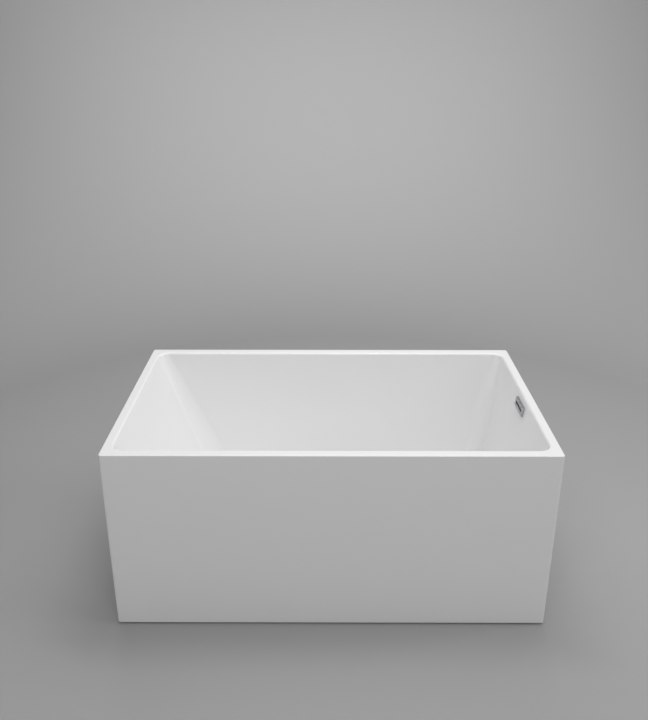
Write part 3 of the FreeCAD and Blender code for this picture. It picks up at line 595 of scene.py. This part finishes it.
# ---------------------------------------------------------------- basin
@dataclass(frozen=True)
class BasinForm:
    """The bathing surface and everything that runs parallel to it."""

    rim_ends: tuple[float, float] = (27.0, 27.0)
    rim_side: float = 35.0
    backrest_angle: float = 22.0
    waste_end_angle: float = 9.5
    side_angle: float = 5.0
    corner_at_rim: float = 38.0
    corner_growth: float = 34.0 / 499.0
    blend: float = 60.0
    floor_z: float = 146.0
    fall: float = math.tan(math.radians(0.3))

    def __post_init__(self) -> None:
        """Takes the outer sizes and the waste's place from the frame."""
        low, high = box_mm("basin")
        object.__setattr__(self, "half_length", (high.x - low.x) / 2)
        object.__setattr__(self, "half_width", (high.y - low.y) / 2)
        object.__setattr__(self, "rim_z", high.z)
        object.__setattr__(self, "waste_x", middle_mm("waste_strainer").x)

    def floor_at(self, x: float) -> float:
        """The height of the bathing surface's floor at a place along the tub."""
        return self.floor_z + self.fall * (self.waste_x - x)

    def sides(self) -> list[tuple[float, float, float]]:
        """(rim width, slope in radians, floor height) of the left, right, front and back walls."""
        left, right = self.rim_ends
        return [(left, math.radians(self.backrest_angle), self.floor_at(-self.half_length + 250)),
                (right, math.radians(self.waste_end_angle), self.floor_at(self.half_length - 120)),
                (self.rim_side, math.radians(self.side_angle), self.floor_at(0.0)),
                (self.rim_side, math.radians(self.side_angle), self.floor_at(0.0))]

    def section(self, station: Callable[[float, float, float], tuple[float, float]],
                grow: float = 0.0, on_floor: bool = False) -> Outline:
        """The outline whose sides are each placed by a station of the wall's section.

        Args:
            station: Gives the inset from the outer edge and the height for a rim width, a slope and a floor
                height.
            grow: How far the surface lies behind the bathing surface; not used here.
            on_floor: Whether the heights are to be counted from the floor.

        Returns:
            The outline.
        """
        insets, heights = [], []
        for rim, slope, floor in self.sides():
            inset, height = station(rim, slope, floor)
            insets.append(inset)
            heights.append(height - (floor if on_floor else 0.0))
        drop = self.rim_z - station(*self.sides()[2])[1]
        wall = self.rim_side + drop * math.tan(math.radians(self.side_angle))
        radius = self.corner_at_rim + drop * self.corner_growth + wall - insets[2]
        return Outline(-self.half_length + insets[0], self.half_length - insets[1],
                       -self.half_width + insets[2], self.half_width - insets[3],
                       max(radius, 4.0), tuple(heights))

    def mouth_ring(self, share: float, radius: float) -> Outline:
        """An outline on the rounded inner edge of the rim, from 0 on the rim to 1 on the wall."""

        def station(rim: float, slope: float, _floor: float) -> tuple[float, float]:
            """Gives the inset and height of one wall on the round of the rim."""
            turn = (math.pi / 2 - slope) * share
            centre = rim + radius * math.tan(slope) - radius / math.cos(slope)
            return centre + radius * math.sin(turn), self.rim_z - radius + radius * math.cos(turn)

        return self.section(station)

    def wall_ring(self, height: float, grow: float) -> Outline:
        """A level outline on the walls, moved outwards by grow."""

        def station(rim: float, slope: float, _floor: float) -> tuple[float, float]:
            """Gives the inset of one wall at this height."""
            return rim + (self.rim_z - height) * math.tan(slope) - grow / math.cos(slope), height

        return self.section(station, grow)

    def blend_ring(self, share: float, grow: float) -> Outline:
        """An outline on the round between walls and floor, from 0 on the walls to 1 on the floor."""

        def station(rim: float, slope: float, floor: float) -> tuple[float, float]:
            """Gives the inset and height of one wall on the round above the floor."""
            turn = (math.pi / 2 - slope) * (1 - share)
            centre_z = floor + self.blend
            centre = rim + (self.rim_z - centre_z) * math.tan(slope) + self.blend / math.cos(slope)
            reach = self.blend + grow
            return centre - reach * math.sin(turn), centre_z - reach * math.cos(turn)

        return self.section(station, grow, on_floor=True)

    def waste_end_frame(self) -> Matrix:
        """Turns outlines drawn flat into place on the waste end's wall, with +Z out of the tub."""
        low, high = box_mm("overflow_front_gasket")
        height = (low.z + high.z) / 2
        slope = math.radians(self.waste_end_angle)
        inset = self.rim_ends[1] + (self.rim_z - height) * math.tan(slope)
        where = Matrix.Translation((self.half_length - inset, 0.0, height))
        return where @ Matrix.Rotation(slope + math.pi / 2, 4, "Y")

    def end_face(self, faces: list[bmesh.types.BMFace]) -> bmesh.types.BMFace:
        """The flat face of the waste end's wall among the faces between two outlines."""
        return max(faces, key=lambda f: f.calc_center_median().x)


@dataclass(frozen=True)
class Basin:
    """The vacuum-formed acrylic shell with its flat rim."""

    form: BasinForm
    thickness: float = 5.0
    deck: float = 6.0
    outer_corner: float = 8.0
    edge_round: float = 2.0
    mouth_round: float = 8.0
    seat_z: float = 142.0
    waste_hole: float = 23.5
    boss: float = 52.0
    overflow_half: tuple[float, float, float] = (7.5, 37.5, 4.0)
    overflow_screw: tuple[float, float] = (43.0, 2.3)

    def outer(self, inset: float, radius: float, height: float) -> Outline:
        """An outline parallel to the tub's outer edge."""
        return level_outline(self.form.half_length - inset, self.form.half_width - inset, radius, height)

    def windows(self, shape: bmesh.types.BMesh, depth: float) -> list[list[bmesh.types.BMEdge]]:
        """The loops of the overflow's slot and screw holes at a depth in the wall."""
        frame = self.form.waste_end_frame() @ Matrix.Translation((0.0, 0.0, depth))
        screw_y, radius = self.overflow_screw
        loops = [flat_loop(shape, level_outline(*self.overflow_half, 0.0), frame)]
        for side in (-1, 1):
            hole = frame @ Matrix.Translation((0.0, side * screw_y, 0.0))
            loops.append(flat_loop(shape, level_outline(radius, radius, radius, 0.0), hole, 3))
        return loops

    def bathing_side(self, skin: Skin) -> bmesh.types.BMFace:
        """Pulls the skin over the rim, down the walls and across the floor into the waste's seat."""
        form, z = self.form, self.form.rim_z
        for step in range(5):
            turn = math.pi / 2 * step / 4
            inset = self.edge_round * (1 - math.cos(turn))
            height = z - self.edge_round * (1 - math.sin(turn))
            skin.pull(self.outer(inset, self.outer_corner - inset, height))
        for step in range(9):
            skin.pull(form.mouth_ring(step / 8, self.mouth_round))
        walls = skin.pull(form.blend_ring(0.0, 0.0), form.floor_at)
        end_wall = form.end_face(walls)
        for step in range(1, 13):
            skin.pull(form.blend_ring(step / 12, 0.0), form.floor_at)
        edge = level_outline(44.6, 44.6, 44.6, 0.0, form.waste_x)
        skin.pull(edge, form.floor_at)
        for radius, depth in ((43.4, 0.25), (42.4, 0.95), (41.5, 1.9), (38.6, 2.9), (37.5, 3.55), (36.2, 3.9),
                              (34.8, 4.0), (self.waste_hole + 0.4, 4.0), (self.waste_hole, 4.4)):
            skin.pull(level_outline(radius, radius, radius, form.floor_z - depth, form.waste_x))
        skin.pull(level_outline(*(self.waste_hole,) * 3, self.seat_z - self.thickness, form.waste_x))
        return end_wall

    def back_side(self, skin: Skin) -> bmesh.types.BMFace:
        """Pulls the skin under the rim, down the back of the walls and across to the waste's hole."""
        form = self.form
        skin.pull(form.wall_ring(form.rim_z - self.deck, self.thickness))
        walls = skin.pull(form.blend_ring(0.0, self.thickness), form.floor_at)
        end_wall = form.end_face(walls)
        for step in range(1, 9):
            skin.pull(form.blend_ring(step / 8, self.thickness), form.floor_at)
        skin.pull(level_outline(*(self.boss,) * 3, -self.thickness, form.waste_x), form.floor_at)
        foot = self.seat_z - self.thickness
        skin.pull(level_outline(*(self.boss,) * 3, foot, form.waste_x))
        skin.pull(level_outline(*(self.waste_hole,) * 3, foot, form.waste_x))
        return end_wall

    def build(self) -> None:
        """Models the shell and opens it for the overflow."""
        start = self.outer(0.0, self.outer_corner, self.form.rim_z - self.deck)
        front = Skin(start)
        shape = front.shape
        inner_wall = self.bathing_side(front)
        outer_wall = self.back_side(Skin(start, shape=shape))
        stations = [self.windows(shape, 0.0), self.windows(shape, self.thickness)]
        open_windows(shape, inner_wall, stations[0])
        open_windows(shape, outer_wall, stations[1])
        line_windows(shape, stations)
        place_piece("basin_shown", shape, SANITARY_ACRYLIC, ["basin"])


@dataclass(frozen=True)
class Laminate:
    """The sprayed glass-fibre layer on the back of the acrylic."""

    form: BasinForm
    acrylic: float = 5.0
    thickness: float = 4.0
    waste_hole: float = 23.5
    boss: float = 52.4

    def build(self) -> None:
        """Models the layer with a level underside for the board."""
        form = self.form
        low, high = box_mm("laminate")
        outside, inside = self.acrylic + self.thickness, self.acrylic + 0.1
        start = form.wall_ring(high.z, outside)
        outer = Skin(start)
        shape = outer.shape
        outer_walls = outer.pull(form.blend_ring(0.0, outside), form.floor_at)
        end_outer = form.end_face(outer_walls)
        for step in range(1, 11):
            share = step / 10
            settle = share**3
            ring = form.blend_ring(share, outside)
            level = low.z - form.floor_z + outside
            heights = tuple(h + settle * level for h in ring.heights)
            flat = Outline(ring.left, ring.right, ring.front, ring.back, ring.radius, heights)
            outer.pull(flat, lambda x, s=settle: form.floor_z + (form.floor_at(x) - form.floor_z) * (1 - s))
        outer.pull(level_outline(*(self.waste_hole,) * 3, low.z, form.waste_x))
        inner = Skin(start, shape=shape)
        inner.pull(form.wall_ring(high.z, inside))
        end_inner = form.end_face(inner.pull(form.blend_ring(0.0, inside), form.floor_at))
        for step in range(1, 9):
            inner.pull(form.blend_ring(step / 8, inside), form.floor_at)
        inner.pull(level_outline(*(self.boss,) * 3, -inside, form.waste_x), form.floor_at)
        inner.pull(level_outline(*(self.boss,) * 3, low.z + self.thickness, form.waste_x))
        inner.pull(level_outline(*(self.waste_hole,) * 3, low.z + self.thickness, form.waste_x))
        inner.pull(level_outline(*(self.waste_hole,) * 3, low.z, form.waste_x))
        basin = Basin(form)
        stations = [basin.windows(shape, inside), basin.windows(shape, outside)]
        open_windows(shape, end_inner, stations[0])
        open_windows(shape, end_outer, stations[1])
        line_windows(shape, stations)
        place_piece("laminate_shown", shape, GLASS_LAMINATE, ["laminate"], crease_degrees=60.0)


# ---------------------------------------------------------------- skirt and sealant
@dataclass(frozen=True)
class Skirt:
    """The one-piece acrylic surround with its flanges, and the sealant between it and the rim."""

    form: BasinForm
    thickness: float = 5.0
    corner: float = 8.0
    top_flange: float = 13.0
    foot_flange: float = 30.0
    foot_round: float = 1.2
    screw_sink: tuple[float, float, float] = (5.3, 2.8, 2.5)

    def outer(self, inset: float, radius: float, height: float) -> Outline:
        """An outline parallel to the tub's outer edge."""
        return level_outline(self.form.half_length - inset, self.form.half_width - inset, radius, height)

    def holes(self, shape: bmesh.types.BMesh, radius: float, height: float,
              places: list[tuple[float, float]]) -> list[list[bmesh.types.BMEdge]]:
        """The loops of the screw holes in the foot flange at one height."""
        circle = level_outline(radius, radius, radius, 0.0)
        return [flat_loop(shape, circle, Matrix.Translation((x, y, height)), 5) for x, y in places]

    def build(self) -> None:
        """Models the surround as one closed section all round."""
        low, high = box_mm("skirt")
        foot, wall = low.z, self.thickness
        skin = Skin(self.outer(self.foot_round, self.corner - self.foot_round, foot))
        for step in range(1, 4):
            turn = math.pi / 2 * step / 3
            inset = self.foot_round * (1 - math.sin(turn))
            skin.pull(self.outer(inset, self.corner - inset, foot + self.foot_round * (1 - math.cos(turn))))
        skin.pull(self.outer(0.0, self.corner, high.z))
        skin.pull(self.outer(self.top_flange, 30.0, high.z))
        skin.pull(self.outer(self.top_flange, 30.0, high.z - wall))
        skin.pull(self.outer(wall, 3.0, high.z - wall))
        skin.pull(self.outer(wall, 3.0, foot + wall))
        upper = skin.pull(self.outer(self.foot_flange, 20.0, foot + wall))
        skin.pull(self.outer(self.foot_flange, 20.0, foot))
        lower = skin.pull(self.outer(self.foot_round, self.corner - self.foot_round, foot))
        sink, bore, depth = self.screw_sink
        screws = box_mm("skirt_screws")
        y = screws[1].y - 5.0
        xs = [middle_mm(f"skirt_brackets_{place}").x for place in ("left", "middle", "right")]
        flats = [[pick(faces, key=lambda f: f.calc_center_median().y) for faces in (lower, upper)]
                 for pick in (min, max)]
        for side, (below, above) in zip((-1, 1), flats):
            places = [(x, side * y) for x in xs]
            stations = [self.holes(skin.shape, sink, foot, places),
                        self.holes(skin.shape, bore, foot + depth, places),
                        self.holes(skin.shape, bore, foot + wall, places)]
            open_windows(skin.shape, below, stations[0])
            open_windows(skin.shape, above, stations[-1])
            line_windows(skin.shape, stations)
        place_piece("skirt_shown", skin.shape, SANITARY_ACRYLIC, ["skirt"])
        self.build_sealant()

    def build_sealant(self) -> None:
        """Models the flush line between rim and skirt."""
        low, high = box_mm("rim_bond")
        skin = Skin(self.outer(0.0, self.corner, low.z))
        for inset, radius, height in ((0.05, self.corner, (low.z + high.z) / 2), (0.0, self.corner, high.z),
                                      (self.top_flange, 30.0, high.z), (self.top_flange, 30.0, low.z),
                                      (0.0, self.corner, low.z)):
            skin.pull(self.outer(inset, radius, height))
        place_piece("rim_sealant", skin.shape, SEALANT_BEAD, ["rim_bond"])


# ---------------------------------------------------------------- frame under the basin
@dataclass(frozen=True)
class Underframe:
    """The plywood board and the welded steel frame with its fixings."""

    tube_round: float = 1.6
    plate_round: float = 0.5
    nut_round: float = 0.3

    def build(self) -> None:
        """Shows board, tubes and fixings with their real edges."""
        softened("base_board", 0.8, BIRCH_PLY)
        for node in ("front_rail", "back_rail", "crossbar_left", "crossbar_middle", "crossbar_right"):
            softened(node, self.tube_round, GALVANISED_TUBE)
        for place in ("left", "middle", "right"):
            softened(f"skirt_brackets_{place}", self.plate_round, GALVANISED_TUBE)
        softened("crossbar_end_plates", self.plate_round, GALVANISED_TUBE)
        softened("rail_end_caps", self.plate_round, BLACK_POLYETHYLENE)
        for node in ("bracket_bolts", "skirt_screw_nuts", "weld_nuts", "lock_nuts"):
            softened(node, self.nut_round, BRIGHT_ZINC)
        dress(BRIGHT_ZINC, "skirt_screws", "board_screws")


@dataclass(frozen=True)
class LevellingFoot:
    """One screw foot: a threaded stud with a ball end in a plastic pad on a rubber sole."""

    place: str
    stud_radius: float = 6.0
    pitch: float = 1.75
    thread_depth: float = 1.07
    hex_z: float = 20.0
    hex_height: float = 8.0
    hex_flats: float = 17.0
    ball: float = 7.0
    ball_z: float = 12.0
    sole: float = 3.0

    def axis(self) -> tuple[float, float]:
        """Where the foot stands."""
        middle = middle_mm(f"foot_sole_{self.place}")
        return middle.x, middle.y

    def thread(self, foot: float, head: float) -> bmesh.types.BMesh:
        """A right-hand thread between two heights, spun from its section with a rise of one pitch a turn."""
        shape = bmesh.new()
        root, steps = self.stud_radius - self.thread_depth, 24
        turns = int((head - foot) / self.pitch) - 1
        section: list[tuple[float, float]] = []
        for turn in range(turns):
            z = foot + turn * self.pitch
            section += [(self.stud_radius, z), (self.stud_radius, z + self.pitch / 8),
                        (root, z + self.pitch * 0.5), (root, z + self.pitch * 0.63)]
        section.append((self.stud_radius, foot + turns * self.pitch))
        points = [shape.verts.new((radius, 0.0, height)) for radius, height in section]
        lines = [shape.edges.new(pair) for pair in zip(points, points[1:])]
        bmesh.ops.spin(shape, geom=points + lines, cent=(0, 0, 0), axis=(0, 0, 1),
                       dvec=(0, 0, self.pitch / steps), angle=math.tau, steps=steps, use_merge=False)
        bmesh.ops.remove_doubles(shape, verts=shape.verts, dist=0.005)
        bmesh.ops.holes_fill(shape, edges=[e for e in shape.edges if e.is_boundary], sides=0)
        return shape

    def build_stud(self) -> None:
        """Models the stud with its real thread."""
        node = f"foot_stud_{self.place}"
        x, y = self.axis()
        top = box_mm(node)[1].z
        shape = self.thread(self.hex_z + self.hex_height + 1.0, top)
        ball = [(self.ball * math.sin(t), self.ball_z - self.ball * math.cos(t))
                for t in (math.pi * i / 20 for i in range(16))]
        neck = turned(ball + [(4.5, self.ball_z + 6.0), (4.5, self.hex_z + 0.5), (0.0, self.hex_z + 0.5)], 32)
        hexagon = bmesh.new()
        height = self.hex_height + 2.0
        bmesh.ops.create_cone(hexagon, cap_ends=True, segments=6, radius1=self.hex_flats / math.sqrt(3),
                              radius2=self.hex_flats / math.sqrt(3), depth=self.hex_height,
                              matrix=Matrix.Translation((0, 0, self.hex_z + self.hex_height / 2)))
        round_edges(hexagon, 0.6)
        bmesh.ops.create_cone(hexagon, cap_ends=True, segments=32, radius1=5.2, radius2=5.2, depth=height,
                              matrix=Matrix.Translation((0, 0, self.hex_z + height / 2)))
        for extra in (neck, hexagon):
            part = bpy.data.meshes.new("part")
            extra.to_mesh(part)
            extra.free()
            shape.from_mesh(part)
            bpy.data.meshes.remove(part)
        bmesh.ops.translate(shape, verts=shape.verts, vec=(x, y, 0.0))
        place_piece(f"foot_stud_{self.place}_shown", shape, BRIGHT_ZINC, [node], f"stud_{self.place}")

    def build_pad(self) -> None:
        """Models the plastic pad with a rounded rim and its socket, and the ribbed rubber under it."""
        x, y = self.axis()
        body = f"foot_{self.place}"
        top = box_mm(f"foot_pad_{self.place}")[1].z
        reach = self.ball + 0.3
        lip = math.sqrt(reach**2 - (top - self.ball_z) ** 2)
        socket = [(reach * math.sin(t), self.ball_z - reach * math.cos(t))
                  for t in (math.pi * i / 24 for i in range(17))]
        socket = [point for point in socket if point[1] < top - 0.3] + [(lip, top)]
        profile = [(0.0, self.sole), (25.0, self.sole), (25.0, self.sole + 4.0), (24.0, self.sole + 5.0),
                   (13.4, top - 2.6), (12.6, top - 0.6), (11.6, top)]
        pad = turned(profile + socket[::-1], 48)
        round_edges(pad, 0.5, sharper_than=50.0)
        bmesh.ops.translate(pad, verts=pad.verts, vec=(x, y, 0.0))
        place_piece(f"foot_pad_{self.place}_shown", pad, BLACK_POLYETHYLENE, [f"foot_pad_{self.place}"], body)
        rings = [(0.0, 0.5), (6.0, 0.5), (6.8, 0.0), (11.0, 0.0), (11.8, 0.5), (14.6, 0.5), (15.4, 0.0),
                 (22.4, 0.0), (23.0, 0.6), (23.0, self.sole), (0.0, self.sole)]
        sole = turned(rings, 48, x, y)
        place_piece(f"foot_sole_{self.place}_shown", sole, NITRILE_RUBBER, [f"foot_sole_{self.place}"], body)

    def build(self) -> None:
        """Models the whole foot."""
        self.build_stud()
        self.build_pad()


# ---------------------------------------------------------------- overflow
@dataclass(frozen=True)
class Overflow:
    """The slotted chrome face plate and the parts behind it."""

    form: BasinForm
    half: tuple[float, float] = (15.0, 49.0)
    slot: tuple[float, float] = (4.0, 37.0)
    depth: float = 6.0
    wall: float = 2.0
    corner: float = 2.0
    edge_round: float = 1.0

    def plate(self, inset: float, radius: float, height: float) -> Outline:
        """An outline parallel to the plate's edge, at a height off the wall."""
        half_z, half_y = (half - inset for half in self.half)
        return level_outline(half_z, half_y, radius, -height)

    def opening(self, grow: float, height: float) -> Outline:
        """An outline parallel to the slot, at a height off the wall."""
        half_z, half_y = (half + grow for half in self.slot)
        return level_outline(half_z, half_y, 1.5 + grow, -height)

    def build(self) -> None:
        """Models the face plate as a shallow tray with a soft-edged slot."""
        skin = Skin(self.plate(0.0, self.corner, 0.3), arc_steps=8)
        for step in range(5):
            turn = math.pi / 2 * step / 4
            inset = self.edge_round * (1 - math.cos(turn))
            height = self.depth - self.edge_round * (1 - math.sin(turn))
            skin.pull(self.plate(inset, self.corner - inset * 0.6, height))
        for step in range(4):
            turn = math.pi / 2 * step / 3
            skin.pull(self.opening(0.6 * (1 - math.sin(turn)), self.depth - 0.6 * (1 - math.cos(turn))))
        skin.pull(self.opening(0.0, self.depth - self.wall))
        skin.pull(self.plate(self.wall, 1.0, self.depth - self.wall))
        skin.pull(self.plate(self.wall, 1.0, 0.3))
        skin.pull(self.plate(0.0, self.corner, 0.3))
        bmesh.ops.transform(skin.shape, matrix=self.form.waste_end_frame(), verts=skin.shape.verts)
        place_piece("overflow_cover_shown", skin.shape, SATIN_CHROME, ["overflow_cover"])
        dress(BLACK_POLYETHYLENE, "overflow_clip_frame")
        dress(NITRILE_RUBBER, "overflow_front_gasket", "overflow_back_gasket")
        dress(WHITE_POLYPROPYLENE, "overflow_housing")
        dress(BRIGHT_ZINC, "overflow_screws")


@dataclass(frozen=True)
class Hose:
    """The corrugated hose from the overflow to the waste, with a plain cuff at each end."""

    outer: float = 13.5
    inner: float = 11.1
    valley: float = 12.5
    pitch: float = 4.4
    bend: float = 60.0
    cuff: float = 20.0

    def build(self) -> None:
        """Turns the hose straight and lays it round its one bend."""
        low, high = box_mm("overflow_hose")
        x, z = high.x - self.outer, low.z + self.outer
        drop = high.z - z - self.bend
        run = x - self.bend - low.x
        arc = self.bend * math.pi / 2
        length = drop + arc + run
        section = [(self.inner, 0.0), (self.outer, 0.0), (self.outer, self.cuff)]
        for turn in range(int((length - 2 * self.cuff) / self.pitch)):
            s = self.cuff + turn * self.pitch
            section += [(self.outer, s + 0.3 * self.pitch), (self.valley, s + 0.5 * self.pitch),
                        (self.valley, s + 0.8 * self.pitch), (self.outer, s + self.pitch)]
        section += [(self.outer, length), (self.inner, length)]
        shape = turned(section, 20)
        for vert in shape.verts:
            vert.co = self.along(vert.co, x, z, high.z, drop, arc)
        place_piece("overflow_hose_shown", shape, HOSE_PVC, ["overflow_hose"], crease_degrees=50.0)
        dress(BRIGHT_ZINC, "hose_clamps")

    def along(self, point: Vector, x: float, z: float, top: float, drop: float, arc: float) -> Vector:
        """Where a point of the straight hose lies once it is bent.

        Args:
            point: The point, with its height as the distance along the hose.
            x: The upright part's axis.
            z: The level part's axis.
            top: Where the hose starts.
            drop: The length of its upright part.
            arc: The length of its bend.

        Returns:
            The point in place.
        """
        if point.z <= drop:
            return Vector((x + point.x, point.y, top - point.z))
        turn = min(point.z - drop, arc) / self.bend
        reach = self.bend + point.x
        beyond = max(0.0, point.z - drop - arc)
        return Vector((x - self.bend + reach * math.cos(turn) - beyond, point.y,
                       z + self.bend - reach * math.sin(turn)))


# ---------------------------------------------------------------- waste
@dataclass(frozen=True)
class Waste:
    """The chromed waste fitting with its pop-up stopper, and the plumbing under it."""

    flange: float = 35.0
    flange_height: float = 2.5
    throat: float = 20.0
    tube: float = 23.0
    cross_z: float = 118.0
    cap: float = 31.5
    dome: float = 3.2

    def build_strainer(self) -> None:
        """Models the flange, its tube and the cross that holds the stopper's cartridge."""
        low, high = box_mm("waste_strainer")
        x, top = middle_mm("waste_strainer").x, high.z
        section = [(self.tube, top - self.flange_height), (self.flange, top - self.flange_height),
                   (self.flange, top - 1.2), (self.flange - 0.35, top - 0.35), (self.flange - 1.2, top),
                   (self.throat + 5.0, top), (self.throat + 3.6, top - 0.4), (self.throat + 0.5, top - 3.4),
                   (self.throat, top - 4.4), (self.throat, low.z), (self.tube, low.z)]
        shape = turned(section + section[:1], 96, x)
        arm = self.throat + 1.0
        add_bar(shape, (x - arm, -2.0, self.cross_z - 6.0), (x + arm, 2.0, self.cross_z))
        add_bar(shape, (x - 2.0, -arm, self.cross_z - 6.0), (x + 2.0, arm, self.cross_z - 0.02))
        place_piece("waste_strainer_shown", shape, POLISHED_CHROME, ["waste_strainer"])

    def build_stopper(self) -> None:
        """Models the domed cap and its seal, which lift together."""
        x = middle_mm("stopper_cap").x
        low, high = box_mm("stopper_cap")
        foot = low.z + 5.0
        ball = (self.cap**2 + self.dome**2) / (2 * self.dome)
        reach = math.asin(self.cap / ball)
        dome = [(ball * math.sin(reach * i / 14), high.z - ball * (1 - math.cos(reach * i / 14)))
                for i in range(14)]
        rim = [(self.cap - 0.25, high.z - self.dome + 0.05), (self.cap, high.z - self.dome - 0.3),
               (self.cap, foot + 0.4), (self.cap - 0.4, foot), (9.0, foot), (9.0, low.z), (3.45, low.z),
               (3.45, foot + 1.0), (0.0, foot + 1.0)]
        place_piece("stopper_cap_shown", turned(dome + rim, 96, x), POLISHED_CHROME, ["stopper_cap"],
                    "stopper")
        bottom, top = (corner.z for corner in box_mm("stopper_seal"))
        seal = [(9.05, bottom), (21.0, bottom), (22.4, bottom + 1.3), (22.4, top), (9.05, top),
                (9.05, bottom)]
        place_piece("stopper_seal_shown", turned(seal, 64, x), NITRILE_RUBBER, ["stopper_seal"], "stopper")
        dress(DRAWN_STAINLESS, "stopper_plunger", "cartridge_spring")
        dress(TURNED_BRASS, "click_cartridge")

    def build(self) -> None:
        """Models and dresses the fitting from its flange down to its tailpiece."""
        self.build_strainer()
        self.build_stopper()
        softened("waste_back_nut", 0.8, WHITE_POLYPROPYLENE)
        dress(WHITE_POLYPROPYLENE, "waste_slip_washer", "waste_tee", "tailpiece", "tailpiece_nut")
        dress(NITRILE_RUBBER, "strainer_gasket", "waste_washer", "tailpiece_washer")


# ---------------------------------------------------------------- studio
@dataclass(frozen=True)
class Lamp:
    """One soft rectangular lamp that points at the tub."""

    name: str
    place: tuple[float, float, float]
    size: tuple[float, float]
    watts: float
    aim: tuple[float, float, float] = (0.0, 0.0, 0.4)

    def build(self) -> None:
        """Hangs the lamp."""
        light = bpy.data.lights.new(self.name, "AREA")
        light.shape = "RECTANGLE"
        light.size, light.size_y = self.size
        light.energy = self.watts
        holder = bpy.data.objects.new(self.name, light)
        holder.location = self.place
        away = Vector(self.place) - Vector(self.aim)
        holder.rotation_euler = away.to_track_quat("Z", "Y").to_euler()
        bpy.context.scene.collection.objects.link(holder)


@dataclass(frozen=True)
class Studio:
    """A round pale floor that sweeps up into a wall on all sides, under soft lamps."""

    reach: float = 4.4
    height: float = 5.0
    cove: float = 2.3
    sky: float = 0.02

    def build_sweep(self) -> None:
        """Spins one section from the middle of the floor up the wall."""
        shape = bmesh.new()
        fold = [shape.verts.new((x, 0.0, z))
                for x, z in ((0.0, 0.0), (self.reach, 0.0), (self.reach, self.height))]
        edges = [shape.edges.new(pair) for pair in zip(fold, fold[1:])]
        bmesh.ops.spin(shape, geom=fold + edges, cent=(0, 0, 0), axis=(0, 0, 1), angle=math.tau, steps=96,
                       use_merge=True)
        bmesh.ops.remove_doubles(shape, verts=shape.verts, dist=0.001)
        crease = [e for e in shape.edges
                  if len(e.link_faces) == 2 and e.calc_face_angle(0.0) > math.radians(60)]
        bmesh.ops.bevel(shape, geom=crease, offset=self.cove, segments=32, profile=0.5, affect="EDGES",
                        offset_type="OFFSET", clamp_overlap=True, material=-1)
        for face in shape.faces:
            face.smooth = True
        mesh = bpy.data.meshes.new("studio_sweep")
        shape.to_mesh(mesh)
        shape.free()
        mesh.materials.append(SWEEP_WITH_PAINTED_LIGHT.material())
        sweep = bpy.data.objects.new("studio_sweep", mesh)
        bpy.context.scene.collection.objects.link(sweep)

    def build(self) -> None:
        """Sets up sweep, lamps and the even light of the room."""
        self.build_sweep()
        for lamp in (Lamp("ceiling_panel", (0.0, 0.2, 3.6), (3.6, 3.0), 50.0, (0.0, 0.2, 0.0)),
                     Lamp("ceiling_strip", (0.18, 0.3, 3.6), (1.4, 0.06), 16.0, (0.0, 0.0, 0.0)),
                     Lamp("key_softbox", (1.84, 0.95, 3.4), (0.8, 0.8), 4.0),
                     Lamp("front_softbox", (0.0, -3.2, 3.4), (3.5, 1.6), 45.0),
                     Lamp("right_softbox", (3.4, -0.3, 2.8), (1.6, 2.6), 31.0),
                     Lamp("back_softbox", (0.0, 2.6, 3.4), (3.5, 1.2), 27.0)):
            lamp.build()
        world = bpy.data.worlds.new("studio_room")
        bpy.context.scene.world = world
        world.use_nodes = True
        room = world.node_tree.nodes["Background"]
        room.inputs["Color"].default_value = (1.0, 1.0, 1.0, 1.0)
        room.inputs["Strength"].default_value = self.sky
        bpy.context.scene.view_settings.view_transform = "Standard"


@dataclass(frozen=True)
class Viewpoint:
    """The camera: a little above head height in front of the tub, looking down at it."""

    place: tuple[float, float, float] = (-0.0159, -2.3466, 1.6815)
    turn: float = -0.00251
    dip: float = 0.39296
    roll: float = 0.00042
    lens: float = 40.014

    def build(self) -> None:
        """Sets the camera up and makes it the scene's own."""
        data = bpy.data.cameras.new("viewpoint")
        data.lens = self.lens
        data.sensor_width = 36.0
        camera = bpy.data.objects.new("viewpoint", data)
        level = Matrix.Rotation(-self.turn, 4, "Z") @ Matrix.Rotation(math.pi / 2 - self.dip, 4, "X")
        camera.matrix_world = Matrix.Translation(self.place) @ level @ Matrix.Rotation(self.roll, 4, "Z")
        bpy.context.scene.collection.objects.link(camera)
        bpy.context.scene.camera = camera


def main() -> None:
    """Builds the tub from the outside in, then the studio and the camera."""
    logging.basicConfig(level=logging.INFO, format="%(name)s: %(message)s")
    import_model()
    form = BasinForm()
    parts = [Basin(form), Skirt(form), Laminate(form), Underframe(), Overflow(form), Hose(), Waste()]
    parts += [LevellingFoot(place) for place in PLACES]
    parts += [Studio(), Viewpoint()]
    for part in parts:
        part.build()


if __name__ == "__main__":
    main()
